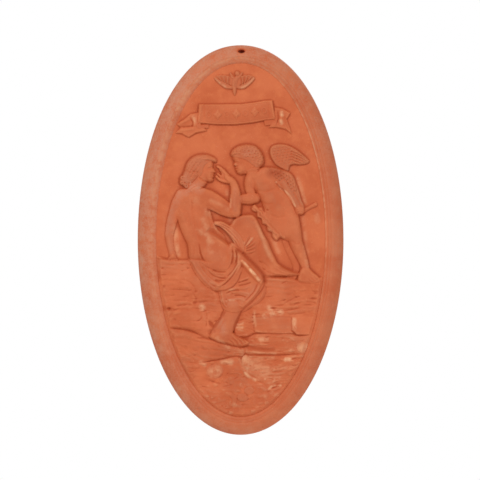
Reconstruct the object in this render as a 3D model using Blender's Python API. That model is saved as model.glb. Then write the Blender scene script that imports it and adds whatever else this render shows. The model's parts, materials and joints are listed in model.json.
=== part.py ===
"""Oval terracotta wall plaque with figures in low relief.

Built the way the clay one is: an oval slab, a wide rim band with two fine beads inside it,
and separately pressed sprigs of clay (figures, wings, drapery, banner, rocks, water) laid side
by side on the face of the slab.  A thin slip line stays open between neighbouring sprigs.

Millimetres in the lists, metres in the model.  +Z is up, the face looks along -Y and the
wall plane is Y = 0, so a height above the wall is a distance along -Y.
"""
from math import atan, pi

import bpy
import bmesh
from mathutils import Matrix

MM = 0.001
QUARTER_TURN = pi / 2

# oval
HALF_WIDTH = 95.0
HALF_HEIGHT = 180.0
OVAL_HANDLE = 0.556          # Bezier handle length over half axis; 0.5523 is a plain ellipse
OVAL_TOP_HANDLE = 0.596      # the two at the top are longer, so the upper end is a little blunter
OVAL_STEPS = 16              # straight steps per quarter of the oval

# body, measured inwards from the outer edge and forwards from the wall
RIM_WIDTH = 11.5
FACE_INSET = 17.6            # where the open face begins
SLAB = 12.0                  # slab thickness, the level of the open face
GAP = 0.3                    # slip line between neighbouring pieces
BEAD_OUTER = (13.2, 1.15)    # inset of the bead's centre, radius
BEAD_INNER = (15.9, 0.85)

# hanging hole near the top of the rim, pushed through with a pointed tool from the front
HOLE_AT = (0.8, 174.3)       # centre of its opening
HOLE_SIZE = (6.8, 4.2)       # width and height of the opening
HOLE_DEPTH = 12.0            # from the opening to the wall plane
HOLE_NARROWS = 0.45          # its size at the wall, as a share of the opening
HOLE_DROP = 3.4              # how much lower the back end sits, for a nail that slants up
HOLE_SPARE = 4.0             # how far the cutter runs past the clay

RELIEF = 0.62                # how high the sprigs below stand, as a share of the heights they are drawn with
SHARP = "sharp"              # marks a corner in an outline
BANNER_HEIGHT = 3.0
LOZENGE_FOOT = 4.6           # half the lozenge's width where it meets the banner
LOZENGE_TOP = 1.2            # and on its flat top
LOZENGE_HEIGHT = 1.6
CURVE_STEPS = 3              # straight steps between two outline points
BURIED = 3.0                 # how far a raw sprig runs behind the face before its back is cut flat
TUBE_SIDES = 3               # roundness of limbs

CLAYS = {
    "fired_clay": (0.60, 0.17, 0.075),
    "dusty_clay": (0.56, 0.25, 0.16),
    "grey_clay": (0.47, 0.27, 0.19),
    "pale_clay": (0.66, 0.33, 0.20),
    "dark_clay": (0.40, 0.13, 0.065),
}


# ---------------------------------------------------------------- curves and meshes

def clear_scene():
    for thing in list(bpy.data.objects):
        bpy.data.objects.remove(thing)


def new_curve(name, fill):
    curve = bpy.data.curves.new(name, "CURVE")
    curve.dimensions = "2D"
    curve.fill_mode = fill
    return curve


def add_outline(curve, points, steps=CURVE_STEPS):
    """A closed smooth outline through the points; a third entry SHARP makes a corner."""
    spline = curve.splines.new("BEZIER")
    spline.bezier_points.add(len(points) - 1)
    spline.use_cyclic_u = True
    spline.resolution_u = steps
    for knot, point in zip(spline.bezier_points, points):
        knot.co = (point[0], point[1], 0.0)
        kind = "VECTOR" if len(point) > 2 else "AUTO"
        knot.handle_left_type = kind
        knot.handle_right_type = kind


def add_oval(curve):
    """The plaque's outer edge as four Bezier quarters."""
    spline = curve.splines.new("BEZIER")
    spline.bezier_points.add(3)
    spline.use_cyclic_u = True
    spline.resolution_u = OVAL_STEPS
    a = HALF_WIDTH
    b = HALF_HEIGHT
    corners = ((a, 0, 0, 1), (0, b, -1, 0), (-a, 0, 0, -1), (0, -b, 1, 0))
    for knot, (x, z, along_x, along_z) in zip(spline.bezier_points, corners):
        handle = OVAL_TOP_HANDLE if z > 0 else OVAL_HANDLE
        reach_x = along_x * a * handle
        reach_z = along_z * b * handle
        knot.handle_left_type = "FREE"
        knot.handle_right_type = "FREE"
        knot.co = (x, z, 0)
        knot.handle_left = (x - reach_x, z - reach_z, 0)
        knot.handle_right = (x + reach_x, z + reach_z, 0)


def settle(curve, helpers=()):
    """Turn a curve drawn flat in millimetres into a closed mesh object standing in the XZ plane."""
    holder = bpy.data.objects.new(curve.name, curve)
    bpy.context.scene.collection.objects.link(holder)
    bpy.context.view_layer.update()
    shaped = holder.evaluated_get(bpy.context.evaluated_depsgraph_get())
    mesh = bpy.data.meshes.new_from_object(shaped)
    bpy.data.objects.remove(holder)
    for helper in helpers:
        bpy.data.objects.remove(helper)
    stand_up = Matrix(((MM, 0, 0, 0), (0, 0, -MM, 0), (0, MM, 0, 0), (0, 0, 0, 1)))
    mesh.transform(stand_up)
    tidy(mesh)
    solid = bpy.data.objects.new(mesh.name, mesh)
    bpy.context.scene.collection.objects.link(solid)
    return solid


def tidy(mesh):
    work = bmesh.new()
    work.from_mesh(mesh)
    bmesh.ops.remove_doubles(work, verts=work.verts, dist=0.00002)
    bmesh.ops.dissolve_degenerate(work, edges=work.edges, dist=0.00001)
    bmesh.ops.recalc_face_normals(work, faces=work.faces)
    work.to_mesh(mesh)
    work.free()


def cut_back_flat(solid, level):
    """Cut away everything nearer the wall than the level and close the flat back."""
    work = bmesh.new()
    work.from_mesh(solid.data)
    everything = list(work.verts) + list(work.edges) + list(work.faces)
    cut = bmesh.ops.bisect_plane(work, geom=everything, plane_co=(0, -level * MM, 0),
                                 plane_no=(0, 1, 0), clear_outer=True)
    rim = [item for item in cut["geom_cut"] if isinstance(item, bmesh.types.BMEdge)]
    bmesh.ops.edgeloop_fill(work, edges=rim)
    bmesh.ops.recalc_face_normals(work, faces=work.faces)
    work.to_mesh(solid.data)
    work.free()


def combine(solid, tool, operation):
    """Boolean of two closed solids; the tool is used up."""
    step = solid.modifiers.new(operation, "BOOLEAN")
    step.operation = operation
    step.solver = "EXACT"
    step.object = tool
    bpy.context.view_layer.update()
    shaped = solid.evaluated_get(bpy.context.evaluated_depsgraph_get())
    mesh = bpy.data.meshes.new_from_object(shaped)
    solid.modifiers.clear()
    solid.data = mesh
    bpy.data.objects.remove(tool)
    tidy(solid.data)


def drop_crumbs(solid):
    """Keep the largest connected lump of what the trimming left."""
    work = bmesh.new()
    work.from_mesh(solid.data)
    waiting = set(work.verts)
    lumps = []
    while waiting:
        lump = set()
        edge_of_lump = [waiting.pop()]
        while edge_of_lump:
            vert = edge_of_lump.pop()
            lump.add(vert)
            for edge in vert.link_edges:
                other = edge.other_vert(vert)
                if other in waiting:
                    waiting.remove(other)
                    edge_of_lump.append(other)
        lumps.append(lump)
    lumps.sort(key=span, reverse=True)
    crumbs = [vert for lump in lumps[1:] for vert in lump]
    bmesh.ops.delete(work, geom=crumbs, context="VERTS")
    work.to_mesh(solid.data)
    work.free()


def span(lump):
    xs = [vert.co.x for vert in lump]
    zs = [vert.co.z for vert in lump]
    return (max(xs) - min(xs)) * (max(zs) - min(zs))


def extent(solid):
    xs = [vert.co.x for vert in solid.data.vertices]
    zs = [vert.co.z for vert in solid.data.vertices]
    return min(xs), max(xs), min(zs), max(zs)


def boxes_touch(one, other):
    return one[0] < other[1] and other[0] < one[1] and one[2] < other[3] and other[2] < one[3]


# ---------------------------------------------------------------- body of the plaque

def swept(name, profile, steps):
    """A closed profile (inset from the outer edge, height above the wall) run round the oval."""
    section = new_curve(name + "_section", "NONE")
    add_outline(section, profile, steps)
    guide = bpy.data.objects.new(section.name, section)
    bpy.context.scene.collection.objects.link(guide)
    path = new_curve(name, "NONE")
    add_oval(path)
    path.bevel_mode = "OBJECT"
    path.bevel_object = guide
    return settle(path, [guide])


def oval_plate(name, inset, back, front):
    plate = new_curve(name, "BOTH")
    add_oval(plate)
    plate.offset = -inset
    plate.extrude = (front - back) / 2
    solid = settle(plate)
    solid.data.transform(Matrix.Translation((0, -(front + back) / 2 * MM, 0)))
    return solid


def round_section(inset, radius):
    height = SLAB + GAP + radius
    return ((inset - radius, height), (inset, height + radius),
            (inset + radius, height), (inset, height - radius))


def rim_band():
    profile = ((1.4, 0.0, SHARP), (0.0, 1.6), (0.2, 4.6), (2.4, 8.2), (6.0, 11.8),
               (9.4, 14.2), (11.0, 14.2), (RIM_WIDTH, 13.0), (RIM_WIDTH, 0.0, SHARP))
    rim = swept("rim_band", profile, 2)
    hole = bpy.data.meshes.new("hole")
    back, front = -HOLE_DEPTH - HOLE_SPARE, HOLE_SPARE
    narrowing = (1 - HOLE_NARROWS) / HOLE_DEPTH
    work = bmesh.new()
    bmesh.ops.create_cone(work, cap_ends=True, segments=24, depth=1.0,
                          radius1=(1 + narrowing * back) / 2, radius2=(1 + narrowing * front) / 2)
    work.to_mesh(hole)
    work.free()
    hole.transform(Matrix.Diagonal((HOLE_SIZE[0] * MM, HOLE_SIZE[1] * MM, (front - back) * MM, 1)))
    hole.transform(Matrix.Translation((0, 0, (front + back) / 2 * MM)))
    hole.transform(Matrix.Rotation(QUARTER_TURN - atan(HOLE_DROP / HOLE_DEPTH), 4, "X"))
    hole.transform(Matrix.Translation((HOLE_AT[0] * MM, -HOLE_DEPTH * MM, HOLE_AT[1] * MM)))
    drill = bpy.data.objects.new("hole", hole)
    bpy.context.scene.collection.objects.link(drill)
    combine(rim, drill, "DIFFERENCE")
    return rim


def body_pieces():
    slab = oval_plate("back_slab", RIM_WIDTH + GAP, 0.0, SLAB)
    outer = swept("bead_outer", round_section(*BEAD_OUTER), 2)
    inner = swept("bead_inner", round_section(*BEAD_INNER), 2)
    return [(rim_band(), "dusty_clay"), (slab, "fired_clay"),
            (outer, "dusty_clay"), (inner, "fired_clay")]


# ---------------------------------------------------------------- sprigs

def sprig(name, clay, height, edge, outline, to_border=False):
    """A pressed sprig: an outline, its height above the face and the width of its rounded edge."""
    def shape(grow):
        curve = new_curve(name, "BOTH")
        add_outline(curve, outline)
        curve.bevel_depth = edge
        curve.bevel_resolution = 1
        curve.offset = grow - edge
        raised = height * RELIEF + 2 * grow
        curve.extrude = (raised + BURIED) / 2 - edge
        solid = settle(curve)
        middle = SLAB + GAP + (raised - BURIED) / 2
        solid.data.transform(Matrix.Translation((0, -middle * MM, 0)))
        return solid
    return name, clay, shape, to_border


def limb(name, clay, flatten, stations):
    """A half-round limb: stations are x, z, radius; flatten is its height over its radius."""
    def shape(grow):
        curve = bpy.data.curves.new(name, "CURVE")
        curve.dimensions = "3D"
        curve.bevel_depth = 1.0
        curve.bevel_resolution = TUBE_SIDES
        curve.use_fill_caps = True
        spline = curve.splines.new("BEZIER")
        spline.bezier_points.add(len(stations) - 1)
        spline.resolution_u = CURVE_STEPS
        for knot, (x, z, radius) in zip(spline.bezier_points, stations):
            knot.co = (x, z, 0)
            knot.radius = radius + grow
            knot.handle_left_type = "AUTO"
            knot.handle_right_type = "AUTO"
        solid = settle(curve)
        solid.data.transform(Matrix.Diagonal((1, flatten * RELIEF, 1, 1)))
        solid.data.transform(Matrix.Translation((0, -(SLAB + GAP) * MM, 0)))
        return solid
    return name, clay, shape, False


def dome(name, clay, centre, radii, height, to_border=False):
    """An oval boss standing on the face."""
    def shape(grow):
        mesh = bpy.data.meshes.new(name)
        work = bmesh.new()
        bmesh.ops.create_uvsphere(work, u_segments=16, v_segments=9, radius=MM)
        work.to_mesh(mesh)
        work.free()
        size = (radii[0] + grow, height * RELIEF + grow, radii[1] + grow, 1)
        mesh.transform(Matrix.Rotation(QUARTER_TURN, 4, "X"))
        mesh.transform(Matrix.Diagonal(size))
        mesh.transform(Matrix.Translation((centre[0] * MM, -(SLAB + GAP) * MM, centre[1] * MM)))
        solid = bpy.data.objects.new(name, mesh)
        bpy.context.scene.collection.objects.link(solid)
        return solid
    return name, clay, shape, to_border


def emblem():
    return [
        sprig("emblem_body", "grey_clay", 5.0, 1.2,
              ((-2.0, 156.5), (-5.0, 154.5), (-5.5, 151), (-8.5, 146), (-8.0, 140.5), (-5.5, 133.5),
               (-3.0, 140.0), (-1.5, 145.5), (-1.8, 149.5), (1.0, 153.5))),
        sprig("emblem_wing_left", "grey_clay", 3.4, 0.9,
              ((-6.0, 149.5), (-12, 148.2), (-18, 148.8), (-24.2, 149.2), (-22.5, 145.0),
               (-17.5, 141.0), (-12.0, 139.0), (-6.0, 140.0))),
        sprig("emblem_wing_right", "grey_clay", 3.4, 0.9,
              ((-3.0, 149.5), (3.0, 148.6), (8.5, 149.2), (13.2, 149.2), (11.5, 145.5),
               (7.0, 141.8), (2.0, 139.2), (-3.0, 140.0))),
    ]


def banner():
    marks = []
    for count in range(3):
        x = -21.0 + 17.0 * count
        z = 115.4 + 0.0016 * (x + 27.5) ** 2
        marks.append((f"banner_lozenge_{count + 1}", x, z))
    panel = sprig("banner_panel", "fired_clay", BANNER_HEIGHT, 0.8,
                  ((-38.5, 125.2, SHARP), (-18, 125.0), (0, 125.2), (13, 126.8), (29.5, 128.8, SHARP),
                   (32.3, 111.2, SHARP), (24, 110.6), (10, 107.8), (-5, 106.0), (-22, 106.2),
                   (-39.5, 108.4, SHARP)))
    return [
        panel,
        sprig("banner_fold_left", "dark_clay", 1.8, 0.5,
              ((-41.0, 116.5, SHARP), (-38.0, 107.0, SHARP), (-29.5, 106.0, SHARP),
               (-30.0, 102.6, SHARP), (-41.5, 103.2, SHARP))),
        sprig("banner_fold_right", "dark_clay", 1.8, 0.5,
              ((21.0, 111.0, SHARP), (22.5, 105.2, SHARP), (34.0, 106.2, SHARP),
               (35.0, 113.0, SHARP))),
        sprig("banner_tail_left", "fired_clay", 2.8, 0.8,
              ((-41.0, 117.0), (-46.0, 116.2), (-52.0, 111.6), (-58.5, 107.4, SHARP),
               (-55.5, 103.0), (-60.5, 97.6, SHARP), (-54.0, 97.2), (-48.0, 94.2), (-42.0, 97.8),
               (-30.5, 100.2, SHARP), (-41.0, 104.4))),
        sprig("banner_tail_right", "fired_clay", 2.8, 0.8,
              ((33.0, 122.0), (38.5, 121.2), (45.4, 117.2, SHARP), (43.5, 110.0), (46.8, 97.0, SHARP),
               (40.5, 101.6), (33.0, 103.4), (25.5, 103.8, SHARP), (33.5, 108.0))),
    ], marks


def banner_marks(marks):
    """Plain lozenges standing on the banner panel."""
    made = []
    middle = SLAB + GAP + BANNER_HEIGHT * RELIEF + GAP + LOZENGE_HEIGHT / 2
    for name, x, z in marks:
        mesh = bpy.data.meshes.new(name)
        work = bmesh.new()
        bmesh.ops.create_cone(work, cap_ends=True, segments=4, radius1=LOZENGE_FOOT * MM,
                              radius2=LOZENGE_TOP * MM, depth=LOZENGE_HEIGHT * MM)
        work.to_mesh(mesh)
        work.free()
        mesh.transform(Matrix.Rotation(QUARTER_TURN, 4, "X"))
        mesh.transform(Matrix.Translation((x * MM, -middle * MM, z * MM)))
        solid = bpy.data.objects.new(name, mesh)
        bpy.context.scene.collection.objects.link(solid)
        made.append((solid, "pale_clay"))
    return made


def woman_upper():
    return [
        sprig("woman_hand", "fired_clay", 7.0, 1.0,
              ((-3.0, 52.0), (-7.0, 57.5), (-12.0, 60.5), (-16.0, 65.5), (-21.0, 68.4),
               (-20.6, 65.6), (-17.0, 62.0), (-16.6, 59.4), (-22.0, 60.0), (-21.4, 56.8),
               (-16.0, 52.4), (-9.5, 50.0), (-6.0, 49.0))),
        limb("woman_forearm", "fired_clay", 1.35,
             ((-3.6, 21.0, 3.4), (-4.6, 27.0, 5.0), (-4.7, 36.0, 5.3), (-5.0, 44.0, 4.2),
              (-6.4, 53.0, 3.4))),
        limb("woman_upper_arm", "fired_clay", 0.92,
             ((-38.0, 39.5, 9.2), (-27.0, 36.4, 8.2), (-17.0, 31.0, 7.2), (-9.0, 27.0, 6.4),
              (-3.0, 25.6, 5.0))),
        sprig("woman_head", "fired_clay", 7.0, 2.0,
              ((-38.0, 66.0), (-33.0, 72.0), (-26.0, 71.0), (-22.4, 66.0), (-22.0, 60.5),
               (-24.5, 54.0), (-29.0, 51.0), (-34.5, 52.5), (-38.0, 58.0))),
        dome("woman_hair_bun", "grey_clay", (-51.0, 54.0), (5.2, 5.8), 6.0),
        sprig("woman_hair", "grey_clay", 8.2, 2.0,
              ((-47.5, 50.0), (-51.0, 58.0), (-50.0, 68.0), (-44.0, 76.4), (-35.0, 78.6),
               (-26.5, 77.0), (-22.0, 73.4), (-27.0, 70.6), (-34.0, 68.0), (-37.0, 61.0),
               (-38.5, 54.0), (-42.5, 50.0))),
        limb("woman_propped_arm", "fired_clay", 1.1,
             ((-55.5, 37.0, 6.2), (-61.0, 24.0, 5.2), (-64.8, 11.0, 4.0), (-65.2, -1.0, 3.0),
              (-62.8, -12.0, 3.1), (-62.0, -16.5, 2.6))),
        sprig("woman_torso", "fired_clay", 7.6, 2.6,
              ((-44.0, 52.0), (-52.0, 47.8), (-58.5, 38.0), (-59.0, 24.0), (-56.5, 12.0),
               (-51.5, 1.0), (-48.4, -9.0), (-47.0, -19.0), (-38.0, -25.5), (-26.0, -28.0),
               (-13.0, -27.0), (-5.0, -20.0), (-3.0, -9.0), (-11.0, 3.0), (-22.0, 13.0),
               (-28.0, 25.0), (-33.0, 36.0), (-37.5, 49.0))),
    ]


def woman_lower():
    return [
        limb("drape_waist_roll", "pale_clay", 1.5,
             ((-22.0, 15.2, 1.7), (-13.0, 10.8, 2.8), (-6.0, 4.6, 3.6), (-1.6, -3.0, 3.8))),
        sprig("drape_near_thigh", "pale_clay", 8.4, 1.6,
              ((-4.0, -14.0), (0.0, -8.6), (6.0, -15.6), (14.0, -23.6), (20.0, -31.6),
               (21.6, -38.4), (14.0, -35.6), (6.0, -28.8), (0.0, -21.8))),
        sprig("drape_hip", "fired_clay", 6.6, 1.6,
              ((-46.6, -16.0), (-44.0, -25.0), (-38.0, -36.0), (-29.0, -44.4), (-20.0, -47.0),
               (-11.0, -46.0), (-4.0, -40.6), (0.0, -33.0), (1.6, -24.0), (-3.0, -17.0),
               (-14.0, -25.0), (-28.0, -24.0), (-38.0, -18.0))),
        sprig("drape_near_calf", "fired_clay", 7.4, 1.8,
              ((-19.6, -45.6), (-18.8, -54.0), (-14.4, -65.0, SHARP), (-7.0, -66.8),
               (1.0, -65.0, SHARP), (9.0, -57.0), (17.0, -48.0), (21.2, -39.0), (13.0, -32.0),
               (2.0, -25.0), (-8.0, -36.0))),
        sprig("drape_hem_fold", "dark_clay", 4.0, 0.7,
              ((20.6, -42.0), (23.2, -44.6), (21.2, -52.0), (15.6, -58.6), (8.4, -62.0),
               (3.4, -66.2), (0.4, -64.4), (8.0, -57.0), (15.0, -50.0))),
        sprig("drape_far_leg", "fired_clay", 5.6, 1.6,
              ((-6.0, 17.6), (-2.0, 22.0), (6.0, 24.0), (13.4, 21.6), (18.4, 12.0), (24.0, 1.0),
               (29.0, -10.0), (34.4, -21.6), (44.0, -27.4), (54.4, -31.6), (48.0, -34.6),
               (34.0, -34.4), (22.0, -33.0), (12.0, -22.0), (2.0, -12.0), (-2.0, 2.0))),
        sprig("woman_foot", "fired_clay", 6.0, 1.4,
              ((-22.0, -80.0), (-28.4, -86.6), (-27.6, -91.0), (-16.0, -95.0), (-2.0, -98.0),
               (6.6, -96.4), (7.0, -92.6), (0.0, -89.4), (-6.0, -84.0), (-12.0, -80.0))),
        limb("woman_shin", "fired_clay", 0.85,
             ((-7.0, -60.0, 7.4), (-9.4, -70.0, 7.0), (-12.6, -76.0, 7.4), (-15.4, -82.0, 7.4))),
    ]


def cupid_upper():
    return [
        limb("cupid_forearm", "fired_clay", 1.3,
             ((-0.5, 37.2, 3.6), (4.0, 37.6, 4.6), (10.0, 38.4, 5.0), (18.0, 40.0, 4.6))),
        limb("cupid_upper_arm", "fired_clay", 1.2,
             ((10.4, 61.0, 5.2), (8.4, 53.0, 4.8), (9.6, 46.0, 4.4), (12.0, 40.0, 3.6))),
        sprig("cupid_hair", "grey_clay", 8.0, 1.8,
              ((-9.6, 78.6), (-6.0, 84.0), (1.0, 87.6), (9.0, 88.0), (17.0, 83.0), (21.2, 75.0),
               (19.0, 67.6), (13.0, 66.6), (8.4, 70.0), (0.0, 74.2), (-6.4, 75.0))),
        sprig("cupid_head", "fired_clay", 7.4, 2.0,
              ((-8.6, 76.0), (-6.6, 68.0), (-2.0, 61.6), (5.0, 59.6), (12.4, 62.0), (15.0, 70.0),
               (8.0, 77.0))),
        dome("cupid_fist", "fired_clay", (54.0, 27.8), (4.8, 4.8), 6.4),
        sprig("bow_stave", "grey_clay", 3.6, 1.0,
              ((52.0, 28.0), (60.0, 32.2), (69.2, 36.2), (70.8, 34.0), (70.2, 30.6), (62.0, 26.6),
               (54.0, 23.8))),
        sprig("cupid_wing_lower", "grey_clay", 4.8, 1.4,
              ((25.0, 66.4), (33.0, 66.6), (41.0, 64.6), (47.6, 59.6), (52.0, 50.0), (55.6, 39.0),
               (58.6, 29.6), (54.0, 27.0), (49.6, 33.0), (43.0, 44.0), (34.6, 50.0), (29.0, 57.0))),
        sprig("cupid_wing_upper", "grey_clay", 4.0, 1.2,
              ((25.4, 68.0), (26.6, 80.0), (28.4, 86.0), (37.0, 88.2), (48.0, 85.4), (57.0, 79.4),
               (63.6, 72.4), (56.0, 69.8), (47.0, 68.4), (44.0, 63.0), (34.0, 64.4))),
    ]


def cupid_lower():
    return [
        sprig("cupid_sash", "pale_clay", 6.8, 1.2,
              ((9.4, 29.4), (15.0, 31.6), (22.0, 27.0), (30.0, 17.6), (38.0, 7.6), (44.0, 0.0),
               (36.0, -1.2), (28.0, 3.0), (20.0, 10.0), (13.0, 19.0))),
        sprig("cupid_near_foot", "fired_clay", 5.4, 1.3,
              ((56.0, -26.0), (62.6, -25.4), (67.6, -29.4), (73.2, -35.6), (66.0, -39.8),
               (56.0, -39.4), (52.6, -35.0))),
        limb("cupid_near_leg", "fired_clay", 1.05,
             ((49.0, 12.0, 5.6), (50.4, 0.0, 6.6), (54.0, -9.0, 5.6), (57.6, -18.0, 4.6),
              (59.8, -27.0, 3.6))),
        limb("cupid_far_leg", "dark_clay", 1.0,
             ((43.6, -3.0, 3.6), (46.6, -12.0, 3.4), (50.0, -24.0, 3.2), (49.0, -35.0, 4.6))),
        sprig("cupid_torso", "fired_clay", 7.0, 2.2,
              ((7.0, 60.0), (14.0, 64.6), (22.0, 66.0), (28.0, 60.0), (34.0, 50.6), (43.0, 44.4),
               (49.0, 33.0), (51.4, 20.0), (53.6, 8.0), (48.0, 0.0), (38.0, 4.0), (26.0, 14.0),
               (20.0, 26.0), (17.6, 36.0), (12.0, 46.0))),
    ]


def stones():
    block = ((12.2, -70.4, SHARP), (30.0, -70.6), (46.4, -70.2, SHARP), (46.8, -83.4, SHARP),
             (30.0, -84.6), (12.6, -84.0, SHARP))
    return [
        sprig("block_large", "fired_clay", 3.4, 0.9, block),
        sprig("block_small", "fired_clay", 3.0, 0.9,
              ((50.0, -71.4, SHARP), (60.0, -70.8), (74.0, -71.0, SHARP), (72.0, -86.6, SHARP),
               (60.0, -87.2), (50.2, -86.0, SHARP)), to_border=True),
        dome("boulder_right", "pale_clay", (57.0, -98.6), (5.2, 4.4), 4.2, to_border=True),
        dome("boulder_left", "pale_clay", (-24.0, -121.0), (6.6, 5.6), 4.6),
        sprig("seat_rock", "fired_clay", 4.6, 1.4,
              ((-90.0, -18.4, SHARP), (-66.0, -18.6), (-46.0, -18.0), (-36.0, -33.0),
               (-24.0, -43.0), (-15.0, -50.0), (-14.0, -66.0), (-22.0, -80.0), (-29.0, -90.0),
               (-44.0, -84.0), (-62.0, -81.8), (-82.0, -82.0, SHARP)), to_border=True),
        sprig("bank_right", "fired_clay", 3.2, 1.2,
              ((22.0, -34.6), (34.0, -35.4), (46.0, -36.0), (60.0, -38.0), (88.0, -38.0, SHARP),
               (86.0, -69.6, SHARP), (60.0, -69.6), (36.0, -69.0), (14.0, -69.2), (2.0, -68.0),
               (6.0, -62.0), (18.0, -50.0)), to_border=True),
        sprig("ledge_left", "fired_clay", 4.0, 1.2,
              ((-80.0, -83.4, SHARP), (-52.0, -83.6), (-38.0, -88.4), (-26.0, -92.4),
               (-8.0, -96.6), (2.0, -99.0), (-2.0, -106.0), (-14.0, -108.4), (-30.0, -112.0),
               (-46.0, -112.0), (-74.0, -108.0, SHARP)), to_border=True),
        sprig("ledge_right", "dusty_clay", 3.4, 1.0,
              ((3.0, -99.0), (9.0, -88.6), (28.0, -86.4), (48.0, -88.0), (80.0, -89.0, SHARP),
               (74.0, -104.6, SHARP), (50.0, -104.4), (30.0, -105.0), (8.0, -104.6)),
              to_border=True),
    ]


def ground():
    return [
        sprig("water", "dusty_clay", 2.6, 1.0,
              ((1.6, -108.6), (16.0, -106.4), (40.0, -106.2), (70.0, -106.4, SHARP),
               (60.0, -130.0, SHARP), (44.0, -132.8), (34.0, -133.6), (26.0, -136.0),
               (19.0, -130.6), (9.0, -127.0), (2.0, -120.0)), to_border=True),
        dome("shell_upper", "grey_clay", (8.0, -138.6), (4.4, 3.0), 3.0),
        dome("shell_lower", "grey_clay", (1.6, -145.4), (4.8, 3.2), 3.0),
        sprig("leaf_curl", "dusty_clay", 2.6, 0.7,
              ((-13.0, -141.0), (-8.0, -142.4), (-5.0, -147.0), (-6.0, -152.6), (-9.6, -150.0),
               (-11.0, -145.6))),
        sprig("bank_front", "fired_clay", 2.4, 1.0,
              ((-70.0, -111.0, SHARP), (-46.0, -113.4), (-30.0, -113.6), (-14.0, -110.0),
               (-2.0, -108.0), (4.0, -122.0), (16.0, -131.0), (27.0, -138.0), (38.0, -135.0),
               (60.0, -134.0, SHARP), (36.0, -176.0, SHARP), (-44.0, -176.0, SHARP)),
              to_border=True),
    ]


def lay_sprigs(pieces):
    """Lay the sprigs from front to back: each is trimmed round every sprig already laid."""
    laid = []
    made = []
    for name, clay, shape, to_border in pieces:
        solid = shape(0.0)
        cut_back_flat(solid, SLAB + GAP)
        if to_border:
            face = oval_plate("face", FACE_INSET, SLAB - BURIED, SLAB + 20)
            combine(solid, face, "INTERSECT")
        box = extent(solid)
        for front_box, front_shape in laid:
            if boxes_touch(box, front_box):
                combine(solid, front_shape(GAP), "DIFFERENCE")
        drop_crumbs(solid)
        laid.append((extent(solid), shape))
        made.append((solid, clay, name))
    for solid, clay, name in made:
        solid.name = name
        solid.data.name = name
    return [(solid, clay) for solid, clay, name in made]


# ---------------------------------------------------------------- finishing

def clay_material(slot):
    material = bpy.data.materials.new(slot)
    material.use_nodes = True
    surface = material.node_tree.nodes["Principled BSDF"]
    surface.inputs["Base Color"].default_value = CLAYS[slot] + (1.0,)
    surface.inputs["Roughness"].default_value = 0.85
    return material


def main():
    clear_scene()
    banner_sprigs, marks = banner()
    sprigs = (emblem() + banner_sprigs + woman_upper() + cupid_upper() + woman_lower()
              + cupid_lower() + stones() + ground())
    finished = body_pieces() + lay_sprigs(sprigs) + banner_marks(marks)
    plaque = bpy.data.collections.new("relief_plaque")
    bpy.context.scene.collection.children.link(plaque)
    materials = {slot: clay_material(slot) for slot in CLAYS}
    for solid, clay in finished:
        solid.data.materials.clear()
        solid.data.materials.append(materials[clay])
        bpy.context.scene.collection.objects.unlink(solid)
        plaque.objects.link(solid)


main()
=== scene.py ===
"""Looks of the oval terracotta relief plaque.

The relief is modelled as clay would be: every sprig is a height field in millimetres above the
face of the slab, laid from back to front on one shared grid.  Each sprig then becomes its own
closed mesh in place of its CAD node.  The rim and its beads are swept round the oval.
"""
import json
import math

import bmesh
import bpy
import numpy as np
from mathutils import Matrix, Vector

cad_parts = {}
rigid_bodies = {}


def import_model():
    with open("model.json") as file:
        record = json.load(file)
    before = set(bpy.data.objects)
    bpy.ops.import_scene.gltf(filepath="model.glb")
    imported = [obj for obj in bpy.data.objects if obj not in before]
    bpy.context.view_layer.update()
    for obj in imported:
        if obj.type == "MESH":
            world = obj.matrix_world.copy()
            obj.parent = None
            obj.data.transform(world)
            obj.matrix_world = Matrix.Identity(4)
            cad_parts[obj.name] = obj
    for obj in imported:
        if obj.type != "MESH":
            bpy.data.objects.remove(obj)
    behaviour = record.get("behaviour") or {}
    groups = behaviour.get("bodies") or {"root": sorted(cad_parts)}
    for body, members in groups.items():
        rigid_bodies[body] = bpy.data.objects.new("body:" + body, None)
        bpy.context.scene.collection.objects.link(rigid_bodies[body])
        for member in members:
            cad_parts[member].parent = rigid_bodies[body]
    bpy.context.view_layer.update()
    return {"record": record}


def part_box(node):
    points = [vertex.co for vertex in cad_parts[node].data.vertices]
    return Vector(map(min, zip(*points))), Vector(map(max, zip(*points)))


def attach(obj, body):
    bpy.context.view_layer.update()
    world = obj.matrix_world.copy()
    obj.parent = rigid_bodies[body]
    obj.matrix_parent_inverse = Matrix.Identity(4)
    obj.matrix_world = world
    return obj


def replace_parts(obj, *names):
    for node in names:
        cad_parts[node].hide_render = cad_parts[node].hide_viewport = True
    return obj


for leftover in list(bpy.data.objects):
    bpy.data.objects.remove(leftover)
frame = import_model()

# ---------------------------------------------------------------- sizes taken from the frame
RIM_LOW, RIM_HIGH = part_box("rim_band")
SLAB_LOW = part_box("back_slab")[0]
NOMINAL_HEIGHT = 360.0                       # the sculpting below is drawn on a plaque this tall
MM = (RIM_HIGH.z - RIM_LOW.z) / NOMINAL_HEIGHT
HALF_W = (RIM_HIGH.x - RIM_LOW.x) / 2 / MM
HALF_H = NOMINAL_HEIGHT / 2
FACE = -SLAB_LOW.y / MM                      # height of the open face above the wall
OVAL_HANDLE = 0.556                          # Bezier handle of the oval over its half axis
OVAL_TOP_HANDLE = 0.596                      # the same at the top, which is a little blunter
FACE_INSET = 17.3                            # from the outer edge to the open face

CELL = 0.45                                  # grid pitch of the relief
FOOT = -0.9                                  # underside of a sprig, set into the slab

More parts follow.
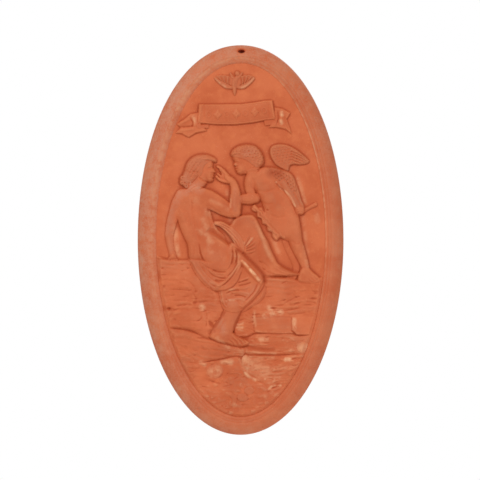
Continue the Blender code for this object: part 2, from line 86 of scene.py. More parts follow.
GRID_X = np.arange(-80.1, 80.2, CELL, dtype=np.float32)
GRID_Z = np.arange(-165.6, 165.8, CELL, dtype=np.float32)
X, Z = np.meshgrid(GRID_X, GRID_Z)
HEIGHT = np.zeros_like(X)                    # the relief, in millimetres above the face
OWNER = np.zeros(X.shape, np.int16)          # which sprig is on top, 0 for the slab
WASH_AND_SHADE = np.zeros_like(X)                      # smoky brown wash, with painted shade under some forms, 0 to 1
DUST = np.zeros_like(X)                      # pink grey dust, 0 to 1
PALE = np.zeros_like(X)                      # rubbed cream patches and painted highlights, 0 to 1
STAIN_AND_SHADE = np.zeros_like(X)                     # dark red brown: stains, tool lines and painted shade, 0 to 1
SPRIGS = []                                  # names, in the order they were laid
RELIEF = 0.60                                # how high it stands, as a share of the heights drawn
EDGE_STEP = 0.17                             # share of a sprig's height its edge rises at once
MOAT = 0.52                                  # depth of the tool line round a sprig, per unit of moat
TOOL_LINE = 0.40                             # how dark the tool line is painted: slip in it, and painted shade on its lower right side
MELT = 3.0                                   # width of the join between parts of one figure
CARVE = 0.50                                 # share of its drawn depth a crack in the rocks keeps
MOAT_WIDTH = 0.42                            # softness of the tool line
FILLET = 0.6                                 # width of the join between a sprig and what it lies on
CURVE_STEPS = 7                              # straight steps between two points of a drawn curve

RING_STEPS = 240                             # points round each quarter of the oval
RING_PITCH = 0.55                            # and between them across the rim
BEADS_FROM, BEADS_PART, BEADS_TO = 11.7, 14.55, 17.6
BACK_EDGE = 1.4                              # where the rounded outer edge meets the wall
BACK_RINGS = 42                              # rings of points over the flat back
HOLE_AT = (0.8, 174.3)                       # centre of the hanging hole's opening
HOLE_SIZE = (6.8, 4.2)                       # width and height of the opening
HOLE_DEPTH = 12.0                            # from the opening to the wall
HOLE_NARROWS = 0.45                          # its size at the wall, as a share of the opening
HOLE_DROP = 3.4                              # how much lower it comes out at the back
HOLE_SPARE = 4.0                             # how far the cutter runs past the clay
HOLE_SIDES = 56


# ---------------------------------------------------------------- lines and distances

def smooth(points, closed=False):
    """A Catmull-Rom curve through the points; extra columns such as a radius are carried along."""
    knots = np.array(points, float)
    count = len(knots)
    if closed:
        before, after = knots[-1:], knots[:2]
    else:
        before, after = 2 * knots[:1] - knots[1:2], 2 * knots[-1:] - knots[-2:-1]
    ring = np.vstack([before, knots, after])
    spans = count if closed else count - 1
    out = []
    for k in range(spans):
        a, b, c, d = ring[k], ring[k + 1], ring[k + 2], ring[k + 3]
        for t in np.arange(CURVE_STEPS) / CURVE_STEPS:
            out.append(0.5 * (2 * b + (c - a) * t + (2 * a - 5 * b + 4 * c - d) * t ** 2
                + (3 * b - a - 3 * c + d) * t ** 3))
    if not closed:
        out.append(knots[-1])
    return np.array(out)


def corners(points, radius=0.6):
    """An outline with nearly sharp corners: each corner becomes two close points."""
    ring = np.array(points, float)
    out = []
    for k in range(len(ring)):
        back = ring[k - 1] - ring[k]
        ahead = ring[(k + 1) % len(ring)] - ring[k]
        out.append(ring[k] + back / np.linalg.norm(back) * radius)
        out.append(ring[k] + ahead / np.linalg.norm(ahead) * radius)
    return out


def window(path, margin):
    """The grid rows and columns around a path."""
    low = path[:, :2].min(0) - margin
    high = path[:, :2].max(0) + margin
    cols = slice(*np.searchsorted(GRID_X, [low[0], high[0]]))
    rows = slice(*np.searchsorted(GRID_Z, [low[1], high[1]]))
    return rows, cols


def distance(path, x, z, closed=False):
    """Distance to a polyline, the share of its length reached, and the side (+1 left of it)."""
    ends = np.vstack([path, path[:1]]) if closed else path
    steps = np.linalg.norm(np.diff(ends[:, :2], axis=0), axis=1)
    reach = np.concatenate([[0], np.cumsum(steps)])
    reach = reach / max(reach[-1], 1e-6)
    best = np.full(x.shape, 1e9, np.float32)
    along = np.zeros(x.shape, np.float32)
    side = np.ones(x.shape, np.float32)
    for k in range(len(ends) - 1):
        ax, az = ends[k, :2]
        dx, dz = ends[k + 1, :2] - ends[k, :2]
        size = max(dx * dx + dz * dz, 1e-9)
        t = np.clip(((x - ax) * dx + (z - az) * dz) / size, 0, 1)
        gap = (x - ax - t * dx) ** 2 + (z - az - t * dz) ** 2
        nearer = gap < best
        best = np.where(nearer, gap, best)
        along = np.where(nearer, reach[k] + (reach[k + 1] - reach[k]) * t, along)
        turn = dx * (z - az) - dz * (x - ax)
        side = np.where(nearer, np.sign(turn), side)
    return np.sqrt(best), along, side


def inside(path, x, z):
    """Which points lie inside a closed outline."""
    hit = np.zeros(x.shape, bool)
    for (x1, z1), (x2, z2) in zip(path[:, :2], np.roll(path[:, :2], -1, axis=0)):
        if z1 != z2:
            hit ^= ((z1 > z) != (z2 > z)) & (x < (x2 - x1) * (z - z1) / (z2 - z1) + x1)
    return hit


def smooth_max(a, b, k):
    """The higher of two surfaces with a fillet about k wide between them."""
    near = np.clip(1 - np.abs(a - b) / k, 0, 1)
    return np.maximum(a, b) + 0.25 * k * near ** 2


def blur(field, radius):
    """Gaussian blur, radius in millimetres."""
    half = max(1, int(round(2.5 * radius / CELL)))
    offsets = np.arange(-half, half + 1)
    weights = np.exp(-0.5 * (offsets * CELL / radius) ** 2)
    weights = weights / weights.sum()
    padded = np.pad(field, half, mode="edge")
    rows = sum(w * padded[half + o: half + o + field.shape[0], :] for o, w in zip(offsets, weights))
    done = sum(w * rows[:, half + o: half + o + field.shape[1]] for o, w in zip(offsets, weights))
    return done.astype(np.float32)


def value_noise(x, z, size_x, size_z, seed):
    """Smooth noise from 0 to 1, one random value every size_x by size_z millimetres."""
    rng = np.random.default_rng(seed)
    u = (x + 100) / size_x
    v = (z + 190) / size_z
    lattice = rng.random((int(380 / size_z) + 3, int(200 / size_x) + 3)).astype(np.float32)
    iu, iv = u.astype(int), v.astype(int)
    fu, fv = u - iu, v - iv
    fu, fv = fu * fu * (3 - 2 * fu), fv * fv * (3 - 2 * fv)
    low = lattice[iv, iu] * (1 - fu) + lattice[iv, iu + 1] * fu
    high = lattice[iv + 1, iu] * (1 - fu) + lattice[iv + 1, iu + 1] * fu
    return low * (1 - fv) + high * fv


def cloud(size, seed, stretch=1.0, octaves=4, x=X, z=Z):
    """Layered noise from -1 to 1; size in millimetres, stretch widens it sideways."""
    total = 0
    weight = 0
    for octave in range(octaves):
        scale = size / 2 ** octave
        total = total + value_noise(x, z, scale * stretch, scale, seed + octave) / 2 ** octave
        weight += 1 / 2 ** octave
    return 2 * total / weight - 1


LINE_WEAR = cloud(15, 7, 1.0, 3)             # where the slip has worn out of the tool lines


# ---------------------------------------------------------------- sprigs

class Sprig:
    """One pressed piece of clay, named after the CAD node it stands for."""

    def __init__(self, name, carve=1.0):
        self.name = name
        self.carve = carve
        self.h = np.zeros_like(HEIGHT)

    def pillow(self, outline, height, edge, roundness=0.5, tilt=(0, 0)):
        """A flat form with a rounded edge; tilt is its slope to the right and upwards."""
        path = smooth(outline, True)
        w = window(path, 1)
        x, z = X[w], Z[w]
        depth = distance(path, x, z, True)[0]
        swell_in = (1 - (1 - np.clip(depth / edge, 0, 1)) ** 2) ** (roundness + 0.3)
        rise = EDGE_STEP * np.clip(depth / 0.8, 0, 1) ** 0.6 + (1 - EDGE_STEP) * swell_in
        middle = path[:, :2].mean(0)
        level = height + tilt[0] * (x - middle[0]) + tilt[1] * (z - middle[1])
        body = np.where(inside(path, x, z), level * rise, 0)
        self.h[w] = np.maximum(self.h[w], body)
        return self

    def tube(self, stations, flatten, base, fillet=1.2):
        """A half-round limb through x, z, radius stations."""
        path = smooth(stations)
        w = window(path, path[:, 2].max() + 1)
        gap, along, _ = distance(path, X[w], Z[w])
        steps = np.linalg.norm(np.diff(path[:, :2], axis=0), axis=1)
        reach = np.concatenate([[0], np.cumsum(steps)]) / steps.sum()
        radius = np.interp(along, reach, path[:, 2])
        body = radius * flatten * np.maximum(1 - (gap / radius) ** 2, 0) ** 0.6
        return self.add(w, body, base, fillet)

    def dome(self, x, z, wide, tall, height, turn=0.0, base=0.0, fillet=1.0):
        """An oval boss."""
        u, v, w = local(x, z, wide, tall, turn)
        lift = np.maximum(1 - u ** 2 - v ** 2, 0)
        return self.add(w, height * np.sqrt(lift), base, fillet)

    def add(self, w, body, base, fillet):
        """Set a form standing on base into the window w, with a fillet to the clay already there."""
        body = np.where(body > 0, body + base, 0)
        joined = smooth_max(self.h[w], body, fillet)
        self.h[w] = np.where((body > 0) & (self.h[w] > 0), joined, np.maximum(self.h[w], body))
        return self

    def bump(self, x, z, wide, tall, height, turn=0.0):
        """Swell (or dent, when negative) the clay already there."""
        u, v, w = local(x, z, wide, tall, turn)
        lift = np.clip(1 - u ** 2 - v ** 2, 0, 1) ** 1.5
        self.h[w] += height * lift * self.body(w)
        return self

    def ridge(self, path, width, height, ends=(0.15, 0.15), crisp=2.0, lean=0.0):
        """A fold along a path (a groove when negative); lean steepens its left side."""
        line = smooth(path)
        w = window(line, width + 1)
        gap, along, side = distance(line, X[w], Z[w])
        reach = width * (1 - lean * side)
        lift = np.clip(1 - gap / reach, 0, 1)
        lift = lift * lift * (3 - 2 * lift) if crisp == 2.0 else lift ** crisp
        fade = np.clip(along / max(ends[0], 1e-3), 0, 1) * np.clip((1 - along) / max(ends[1], 1e-3), 0, 1)
        self.h[w] += self.carve * height * lift * np.sqrt(fade) * self.body(w)
        return self

    def ridges(self, paths, width, height, **shape):
        """Several folds alike."""
        for path in paths:
            self.ridge(path, width, height, **shape)
        return self

    def rough(self, pattern):
        """Add a pattern to the surface."""
        self.h += pattern * self.body(slice(None))
        return self

    def body(self, w):
        """1 on the sprig, easing to 0 at its foot."""
        return np.clip(self.h[w] / 1.2, 0, 1)

    def lay(self, wash, moat, over=0.8, into=()):
        """Press the sprig on, inside a soft tool line; it flows into the sprigs named in into.

        wash is how smoky it is, moat how strong its tool line, and over how far the ground swells
        under it.
        """
        global HEIGHT
        mask = self.h > 0.15
        kin = np.isin(OWNER, [SPRIGS.index(name) + 1 for name in into])
        shadow = blur(mask.astype(np.float32), MOAT_WIDTH)
        ground = (~mask & ~kin) * np.clip(2 * shadow, 0, 1)
        HEIGHT = HEIGHT - moat * MOAT * blur(ground.astype(np.float32), 0.3)
        below = np.where(kin, HEIGHT, blur(HEIGHT, 1.2) + over * np.clip(self.h, 0, 1))
        joined = smooth_max(below, self.h, np.where(kin, MELT, FILLET))
        HEIGHT = np.where(mask, joined, HEIGHT).astype(np.float32)
        SPRIGS.append(self.name)
        mine = mask & (~kin | (self.h > below - 0.4))
        OWNER[mine] = len(SPRIGS)
        WASH_AND_SHADE[mine] = wash
        PALE[mine] *= 0.3
        DUST[mine] *= 0.3
        STAIN_AND_SHADE[mine] *= 0.4
        # the line is painted darker where it faces the lower right, away from the light: painted shade over
        # the slip, varied by the wear noise
        rise_z, rise_x = np.gradient(shadow, CELL)
        facing = (0.7 * rise_z - 0.7 * rise_x) / np.maximum(np.hypot(rise_x, rise_z), 0.02)
        strength = np.clip(0.62 + 0.38 * facing + 0.45 * LINE_WEAR, 0.1, 1)
        line = TOOL_LINE * min(moat, 1.4) * blur((ground * strength).astype(np.float32), 0.35)
        np.maximum(STAIN_AND_SHADE, line, out=STAIN_AND_SHADE)
        return self


def local(x, z, wide, tall, turn):
    """Coordinates turned and scaled so that an oval is the unit circle, and its grid window."""
    reach = max(wide, tall)
    w = window(np.array([[x, z]]), reach + 1)
    c, s = math.cos(turn), math.sin(turn)
    dx, dz = X[w] - x, Z[w] - z
    return (dx * c + dz * s) / wide, (dz * c - dx * s) / tall, w


def paint(layer, path, width, amount):
    """Brush a colour layer along a path, soft at its edges."""
    line = smooth(path) if len(path) > 1 else np.array(path, float)
    if len(line) == 1:
        line = np.vstack([line, line + 0.01])
    w = window(line, width + 1)
    gap, _, _ = distance(line, X[w], Z[w])
    stroke = amount * np.clip(1 - gap / width, 0, 1) ** 0.8
    layer[w] = np.maximum(layer[w], stroke)


# ---------------------------------------------------------------- ground

def strata(lines, seed):
    """Cracks along listed lines, made uneven, for Sprig.ridges."""
    rng = np.random.default_rng(seed)
    out = []
    for line in lines:
        knots = np.array(line, float)
        knots[1:-1, 1] += rng.normal(0, 0.35, len(knots) - 2)
        out.append(knots)
    return out


def weather():
    """Uneven tone over the ground: smoky hollows, dust, rubbed pale and painted highlight on the crests, and
    dark red patches thickening towards the bottom.
    """
    ground = OWNER > 0
    WASH_AND_SHADE[ground] = np.clip(WASH_AND_SHADE + 0.75 * cloud(13, 141, 1.8, 3), 0, 0.8)[ground]
    DUST[ground] = np.clip(0.26 * cloud(17, 145, 1.5, 3), 0, 0.5)[ground]
    # pale on the crests of the rock, partly rubbing and partly painted highlight, more towards the bottom
    crest = np.clip((HEIGHT - blur(HEIGHT, 2.0)) / 0.7, 0, 1) * np.clip(cloud(16, 149, 1.6, 3) + 0.25, 0, 1)
    low = np.clip((-Z - 60) / 60, 0.25, 1)
    PALE[ground] = np.maximum(PALE, 0.5 * crest * low)[ground]
    # dark red patches, thicker towards the bottom
    low_patches = np.clip(0.55 + 0.9 * cloud(12, 153, 1.7, 3), 0, 1) * np.clip((-Z - 70) / 50, 0, 1)
    STAIN_AND_SHADE[ground] = np.maximum(STAIN_AND_SHADE, 0.17 * low_patches)[ground]


def rubble(sprig, across, up, count, seed):
    """Small lumps strewn over a sprig."""
    rng = np.random.default_rng(seed)
    for _ in range(count):
        x, z, size = rng.uniform(*across), rng.uniform(*up), rng.uniform(1.2, 3.2)
        sprig.bump(x, z, size * rng.uniform(1.0, 2.0), size, rng.uniform(0.4, 1.1), rng.uniform(-0.6, 0.6))


def nicks(sprig, across, up, count, seed):
    """Short, nearly level tool marks strewn over a sprig."""
    rng = np.random.default_rng(seed)
    for _ in range(count):
        x, z = rng.uniform(*across), rng.uniform(*up)
        reach, dip = rng.uniform(1.5, 5.0), rng.uniform(-1.2, 1.2)
        line = [(x - reach, z - dip), (x, z + rng.uniform(-0.5, 0.5)), (x + reach, z + dip)]
        sprig.ridge(line, rng.uniform(0.7, 1.3), rng.uniform(-2.2, 1.0), ends=(0.4, 0.4))


def creases(size, seed, stretch):
    """Rock facets: rounded lumps with sharp valleys between them, from -0.5 up."""
    return 1.6 * np.abs(cloud(size, seed, stretch, 3)) - 0.5


def bands(pitch, seed):
    """Level beds of stone, wandering and fading, from -1 to 1."""
    wander = Z + 3.0 * cloud(24, seed, 1.5, 2) + 1.1 * cloud(7, seed + 4, 2.0, 2)
    return np.sin(2 * np.pi * wander / pitch) * np.clip(0.5 + 0.9 * cloud(15, seed + 8, 2.0, 2), 0, 1)


RUGGED = 0.75 * cloud(9, 11, 1.8) + 0.75 * creases(13, 15, 1.5)
FINE = 0.7 * cloud(3.2, 21, 1.5, 3)
SLOW = cloud(22, 31, 1.6, 2)
BEDS = 0.45 * bands(5.2, 160) + 0.2 * bands(2.9, 175)


def front_bank():
    bank = Sprig("bank_front", CARVE).pillow([(-74, -108), (-52, -112), (-34, -112.5), (-16, -109.5),
        (-2, -107.5), (4, -118), (12, -127), (22, -132), (28, -136), (38, -134), (58, -134), (40, -170),
        (0, -178), (-44, -172)], 2.6, 2.5)
    bank.rough(1.1 * RUGGED + 0.55 * FINE + 0.5 * BEDS)
    bank.ridges(strata([[(-50, -117), (-42, -118.5), (-36, -118)], [(-52, -113), (-46, -114), (-38, -113)],
        [(-30, -129), (-25, -130), (-18, -133.5)], [(-34, -150), (-24, -151), (-14, -149), (-8, -147)],
        [(-26, -153), (-18, -155), (-8, -156)], [(12, -145), (18, -145.5), (22, -143)],
        [(24, -140), (29, -138), (33, -141)], [(8, -156), (9, -160), (14, -161), (20, -159)],
        [(-38, -136), (-30, -141), (-27, -147)], [(30, -150), (24, -156), (16, -158)]], 5), 1.6, -1.3)
    bank.ridges([[(-14, -118), (-4, -122), (6, -133)], [(-46, -122), (-36, -126), (-32, -133)],
        [(-16, -138), (-6, -136), (2, -133)], [(10, -150), (17, -152), (26, -147)],
        [(-20, -158), (-8, -161), (6, -160)]], 3.4, 0.9)
    for x, z, size in ((-36, -141, 1.6), (-34, -146, 1.3), (-11.5, -158.5, 1.6), (-17, -153, 1.3)):
        bank.bump(x, z, size, size, -1.6)
    for x, z, wide, tall in ((-9, -159, 3, 2), (-3, -152, 4, 2.4), (18, -150, 4, 2), (-12, -112.5, 8, 2.6),
            (-34, -113.5, 4.5, 2.6), (24, -150, 3, 2), (12, -157, 3, 2)):
        bank.bump(x, z, wide, tall, 1.3)
    rubble(bank, (-44, 40), (-162, -110), 90, 17)
    nicks(bank, (-50, 42), (-164, -112), 110, 301)
    bank.lay(wash=0.28, moat=0.15)


def leaf_and_shells():
    leaf = Sprig("leaf_curl").tube([(-13, -140.5, 1.0), (-9, -142, 1.7), (-5.6, -146, 2.0),
        (-6.4, -151, 1.5), (-9.4, -151.6, 1.0), (-9.6, -148.4, 0.7)], 1.2, 1.0)
    leaf.ridge([(-12, -141), (-8, -142.6), (-5.6, -147), (-7, -151)], 0.8, -0.8)
    leaf.lay(wash=0.2, moat=0.6)
    for name, x, z, wide, tall, turn in (("shell_upper", 8, -138.6, 4.6, 3.4, 0.2),
            ("shell_lower", 1.8, -145, 5.0, 3.5, -0.1)):
        shell = Sprig(name).dome(x, z, wide, tall, 3.2, turn, 0.6)
        shell.bump(x - 0.6, z + 0.3, 1.5, 1.2, -2.4)
        for k in range(7):
            angle = 0.5 + 0.72 * k
            far = (x + 4.4 * math.cos(angle), z + 3.2 * math.sin(angle))
            shell.ridge([(x, z), (0.5 * (x + far[0]), 0.5 * (z + far[1])), far], 0.8, -0.7)
        shell.lay(wash=0.35, moat=0.8)


def rippled_water():
    water = Sprig("water", CARVE).pillow([(1.4, -110), (4, -106.8), (18, -106.2), (40, -106), (64, -104),
        (60, -128), (44, -134.6), (36, -134.4), (30, -135.6), (26, -137), (20, -131.8), (12, -129),
        (4, -124.2), (1.6, -118)], 2.6, 4.5)
    warp = 2.2 * cloud(14, 41, 1.6, 3) + 0.6 * cloud(5, 44, 1.0, 2)
    ripple = np.sin((Z + 0.09 * X) * 1.25 + warp * 2.3)
    swirl = np.sin((Z - 0.16 * X) * 2.0 + 4.2 * cloud(8, 55, 1.3, 3))
    water.rough(0.7 * ripple * (0.5 + 0.6 * cloud(12, 47, 1.5, 2)) + 0.7 * cloud(7, 51, 2.4, 3)
        + 0.55 * swirl * np.clip(0.4 + cloud(10, 57, 1.5, 2), 0, 1))
    water.dome(5.4, -113.6, 4.8, 8.0, 4.4, 0.15)
    water.ridges([[(3.6, -121.5), (7, -125.4), (13.4, -128.6)], [(22, -131.6), (26.4, -136.6), (31, -134.4),
        (37, -133.8)], [(38, -112), (43, -109.6), (50, -112), (57, -113)], [(10, -106.8), (20, -107.6),
        (30, -107.2)]], 1.5, 1.2)
    water.ridges([[(6, -120.6), (10, -124.6), (18, -128.4)], [(22, -110), (28, -111.6), (34, -110.4)],
        [(30, -131.4), (33, -132.2), (37, -131.2)], [(46, -117), (52, -118.4), (57, -117)]], 1.3, -1.2)
    rubble(water, (6, 56), (-132, -108), 26, 19)
    nicks(water, (8, 58), (-134, -107), 40, 303)
    water.lay(wash=0.3, moat=0.15)


def right_ledge():
    ledge = Sprig("ledge_right", CARVE).pillow([(2, -100), (8, -89), (18, -86), (30, -85.6), (46, -85.4),
        (52, -87.8), (72, -88.4), (76, -104), (54, -104.6), (40, -105.4), (20, -105.6), (6, -105)], 2.8,
        4.0)
    ledge.rough(0.9 * RUGGED + 0.5 * FINE + 0.45 * BEDS)
    ledge.ridge([(2, -96.4), (12, -99.6), (22, -101.2), (32, -101)], 2.8, -3.2, ends=(0.05, 0.3))
    ledge.ridges([[(8, -91), (14, -91.6), (18, -95)], [(16, -97), (24, -98), (30, -97)],
        [(34, -90), (44, -91), (50, -95), (52, -100)], [(20, -89), (30, -90), (36, -90.6)]], 1.5, -1.3)
    ledge.ridges([[(8, -102.6), (18, -104), (32, -104.2)], [(14, -95.6), (20, -96.6), (26, -95.8)],
        [(18, -91.6), (25, -91)]], 1.3, 1.3)
    rubble(ledge, (4, 60), (-104, -88), 22, 23)
    nicks(ledge, (6, 62), (-104, -88), 20, 305)
    ledge.lay(wash=0.22, moat=0.15)


def boulders():
    for name, x, z, wide, tall in (("boulder_left", -23.6, -120.8, 7.2, 6.2), ("boulder_right", 57.4, -98.8,
            5.8, 5.0)):
        boulder = Sprig(name).dome(x, z, wide, tall, 4.0, 0.1, 0.8)
        boulder.bump(x + 1.5, z - 1.5, 4, 3, -0.6)
        boulder.rough(0.35 * FINE).lay(wash=0.35, moat=0.5)


def left_ledge():
    ledge = Sprig("ledge_left", CARVE).pillow([(-76, -82), (-56, -82.4), (-44, -85), (-30, -90), (-16, -94),
        (0, -98), (4, -101), (2, -106.8), (-8, -107.6), (-26, -111), (-44, -113), (-76, -106)], 3.3, 4.0)
    ledge.rough(0.7 * cloud(8, 61, 3.2) + 0.45 * FINE + 0.6 * BEDS)
    ledge.ridges([[(-64, -84.4), (-54, -84.6), (-44, -88.4), (-34, -90.8), (-26, -92)],
        [(-62, -90.4), (-50, -91.6), (-40, -93.6), (-22, -96)], [(-64, -93), (-54, -98), (-44, -104.6),
        (-34, -110)], [(-56, -103), (-46, -108), (-40, -113)], [(-28, -100), (-16, -103), (-6, -104)],
        [(-30, -106.4), (-22, -107), (-12, -105.4)], [(-16, -108.6), (-4, -107.4), (2, -107.8)]], 1.8, -1.3)
    ledge.ridges([[(-62, -87.6), (-50, -87.4), (-40, -91.4), (-30, -93.8)], [(-58, -94.6), (-48, -97.4),
        (-36, -99.4), (-20, -99)], [(-50, -99.6), (-42, -105), (-30, -108)], [(-20, -96.6), (-12, -99.6),
        (-2, -101.4)]], 1.8, 0.9)
    ledge.bump(-34.5, -100, 6.0, 2.0, -1.3, -0.2)
    ledge.bump(-63, -88, 3, 2.5, -1.6)
    ledge.rough(0.5 * creases(9, 63, 3.0))
    nicks(ledge, (-66, 0), (-110, -84), 30, 307)
    ledge.lay(wash=0.36, moat=0.15)


def right_bank():
    bank = Sprig("bank_right", CARVE).pillow([(16, -30), (30, -33.6), (44, -34.6), (60, -38), (84, -36),
        (84, -80), (60, -84), (36, -84), (16, -85), (9, -88), (2, -90), (-6, -88), (-6, -66), (8, -58),
        (18, -48)], 3.2, 3.0, tilt=(-0.01, 0.0))
    bank.rough(0.9 * SLOW + 0.5 * RUGGED + 0.35 * FINE + 0.7 * BEDS)
    bank.ridges(strata([[(30, -60.4), (38, -59.8), (44, -56.4), (50, -53.4), (58, -51)],
        [(30, -64), (38, -65), (48, -63.6), (56, -62)], [(44, -68.6), (54, -67), (66, -66)],
        [(58, -60), (66, -59.6), (76, -60)], [(53, -47), (58, -47.6), (61, -46.4)],
        [(60, -57), (66, -57.4), (70, -58.6)], [(4, -75), (8, -76), (12, -75)],
        [(4, -81), (10, -82.6), (14, -85)], [(12, -66), (11, -74), (12.4, -83)],
        [(6, -67), (12, -68.6), (18, -68)]], 7), 1.3, -1.5)
    bank.bump(3.4, -78.6, 6.4, 7.0, 1.5).bump(8, -71, 7.4, 5.4, 1.1, -0.4)
    bank.ridges([[(-1, -74), (4, -73), (9, -75)], [(-2, -77.4), (3, -77.4), (8.6, -80)],
        [(-2, -80.6), (2, -81.6), (7, -84.6)], [(4, -69), (8, -71.6), (13, -71)]], 1.3, -1.0)
    bank.ridges([[(46, -57.6), (56, -56), (66, -54)], [(30, -62.2), (44, -61.6), (58, -59)],
        [(42, -66.4), (54, -64.6), (68, -63)], [(62, -44.6), (70, -45), (75, -44.4)],
        [(25, -61), (29, -64.6), (27, -68), (22, -69.4)], [(23, -69.4), (32, -67.4), (37.5, -65)],
        [(13, -64), (12.6, -70), (13.6, -78)], [(-2, -80), (0, -78), (3, -79)],
        [(24, -36), (36, -36.6), (50, -38)]], 1.7, 1.3)
    nicks(bank, (24, 76), (-69, -38), 50, 309)
    bank.lay(wash=0.05, moat=0.1)


def blocks():
    block = Sprig("block_large").pillow(corners([(12.4, -70.8), (46.2, -70.6), (46.8, -83.2), (50, -86.2),
        (30, -86.4), (13, -85.2)]), 3.5, 1.3)
    block.rough(0.35 * RUGGED + 0.3 * FINE)
    nicks(block, (14, 45), (-84, -72), 12, 311)
    block.ridges([[(34, -75), (39, -76.2), (44, -75.6)], [(28, -86), (34, -84.8), (44, -84.4)],
        [(20, -79), (26, -79.6)]], 0.9, -0.45)
    block.lay(wash=0.14, moat=0.45)
    block = Sprig("block_small").pillow(corners([(47.4, -70.8), (74, -70.2), (72, -87.6), (51.4, -87.4),
        (47.6, -83)]), 3.3, 1.0)
    block.rough(0.12 * RUGGED + 0.1 * FINE)
    block.dome(49.2, -76.4, 2.2, 5.2, 4.2)
    block.lay(wash=0.05, moat=0.3)


def rock_seat():
    seat = Sprig("seat_rock", CARVE).pillow([(-90, -17.8), (-64, -18.6), (-50, -18), (-34, -19), (-20, -30),
        (-10, -46), (-10, -70), (-20, -86), (-30, -91), (-44, -84.2), (-56, -81.8), (-70, -81.4),
        (-92, -84)], 4.0, 3.2)
    seat.rough(1.2 * SLOW + 0.8 * cloud(8, 71, 1.8) + 0.35 * FINE + 0.6 * BEDS)
    seat.ridges(strata([[(-66, -46), (-56, -45.4), (-44, -47)], [(-74, -50), (-68, -52), (-60, -50.6)],
        [(-64, -56), (-52, -55), (-40, -57.4), (-30, -56)], [(-60, -60.4), (-50, -59.6), (-42, -60.6)],
        [(-56, -36), (-48, -38), (-43, -43), (-41, -48)], [(-44, -48), (-41, -54), (-42, -62)],
        [(-46, -74.4), (-38, -73.6), (-34, -68)], [(-70, -22.4), (-66, -23), (-60, -22.6)],
        [(-62, -66), (-66, -72), (-67.6, -79)], [(-34, -63), (-31, -70), (-32, -80)],
        [(-30, -74), (-27, -76), (-22, -74)], [(-30, -68), (-26, -66.6), (-21, -68)],
        [(-74, -62), (-70, -64.6), (-63, -62.6)]], 9), 1.5, -1.4)
    seat.ridges([[(-72, -34), (-60, -35.4), (-50, -38.4)], [(-62, -42), (-52, -42), (-46, -44)],
        [(-56, -57.6), (-48, -57), (-42, -59)], [(-64, -68), (-54, -66.4), (-44, -68)],
        [(-64, -80), (-54, -78.6), (-40, -80.4), (-33, -84)], [(-36, -66), (-33.4, -74), (-34, -82)],
        [(-28, -46.8), (-24, -50), (-22, -58)]], 2.6, 1.2)
    for x, z, size, deep in ((-76, -31.6, 2.0, -2.4), (-72.4, -61.6, 2.0, -3), (-66, -63.4, 2.4, -2.8),
            (-60.4, -73.4, 2.4, -1.0), (-41.4, -47.6, 2.4, -1.2), (-72, -26, 1.8, -1.6),
            (-43, -58, 2.0, -1.4)):
        seat.bump(x, z, size, size * 0.8, deep)
    seat.bump(-27, -77.6, 5.4, 2.6, -1.8, -1.0).bump(-22.6, -82.6, 4.4, 2.2, -1.8, -0.9)
    seat.dome(-71.4, -43.2, 4.2, 3.2, 3.8).bump(-71.6, -42.8, 2.0, 1.4, -1.5)
    seat.dome(-35.4, -61, 3.4, 4.4, 4.6)
    seat.dome(-23, -69.6, 4.4, 4.4, 4.6)
    seat.dome(-48, -69, 12, 5.6, 4.9, 0.05)
    seat.rough(0.5 * creases(12, 73, 2.0))
    nicks(seat, (-76, -22), (-82, -22), 70, 313)
    seat.lay(wash=0.1, moat=0.25)


# ---------------------------------------------------------------- emblem and banner

def emblem():
    for name, root, tip in (("emblem_wing_left", -6.4, -24.4), ("emblem_wing_right", -3.2, 13.2)):

        def at(share, z):
            return (root + (tip - root) * share, z)
        wing = Sprig(name).pillow([at(-0.05, 149), at(0.3, 151.4), at(0.7, 152), at(1.0, 149.6),
            at(0.88, 146), at(0.6, 141.6), at(0.3, 138.8), at(-0.05, 140.4)], 1.8, 1.0)
        wing.ridges([[at(0.98, 149), at(0.78, 144.6), at(0.5, 140.8), at(0.1, 140)]], 1.2, 0.8,
            ends=(0.02, 0.1))
        for k in range(7):
            line = [at(0.04, 141.4), at(0.24 + 0.06 * k, 143.6 + 0.4 * k),
                at(0.16 + 0.13 * k, 151.6 - 0.2 * k)]
            wing.ridge(line, 0.8, 1.2 if k % 2 else -1.2, ends=(0.3, 0.02))
        wing.lay(wash=0.6, moat=0.4)
    bird = Sprig("emblem_body").tube([(-3.6, 149.6, 1.6), (-5.4, 145.6, 2.6), (-5.8, 141.2, 2.2),
        (-5.6, 136.6, 1.5), (-5.4, 133.6, 0.7)], 1.1, 0.8)
    bird.dome(-3.0, 153.2, 2.2, 2.4, 2.6, 0, 0.8)
    for side in (-1, 1):
        bird.tube([(-4.6 + 1.6 * side, 149, 1.3), (-4.4 + 4.2 * side, 151.6, 1.1),
            (-4.0 + 5.4 * side, 154, 0.8)], 1.0, 0.8)
    bird.bump(-2.4, 153.4, 0.8, 0.8, -0.8)
    bird.ridges([[(-6.6, 148), (-5.2, 144), (-6.4, 140)], [(-4, 147), (-4.4, 143), (-4.6, 139)]], 0.7, -0.6)
    bird.lay(wash=0.6, moat=0.5, into=("emblem_wing_left", "emblem_wing_right"))


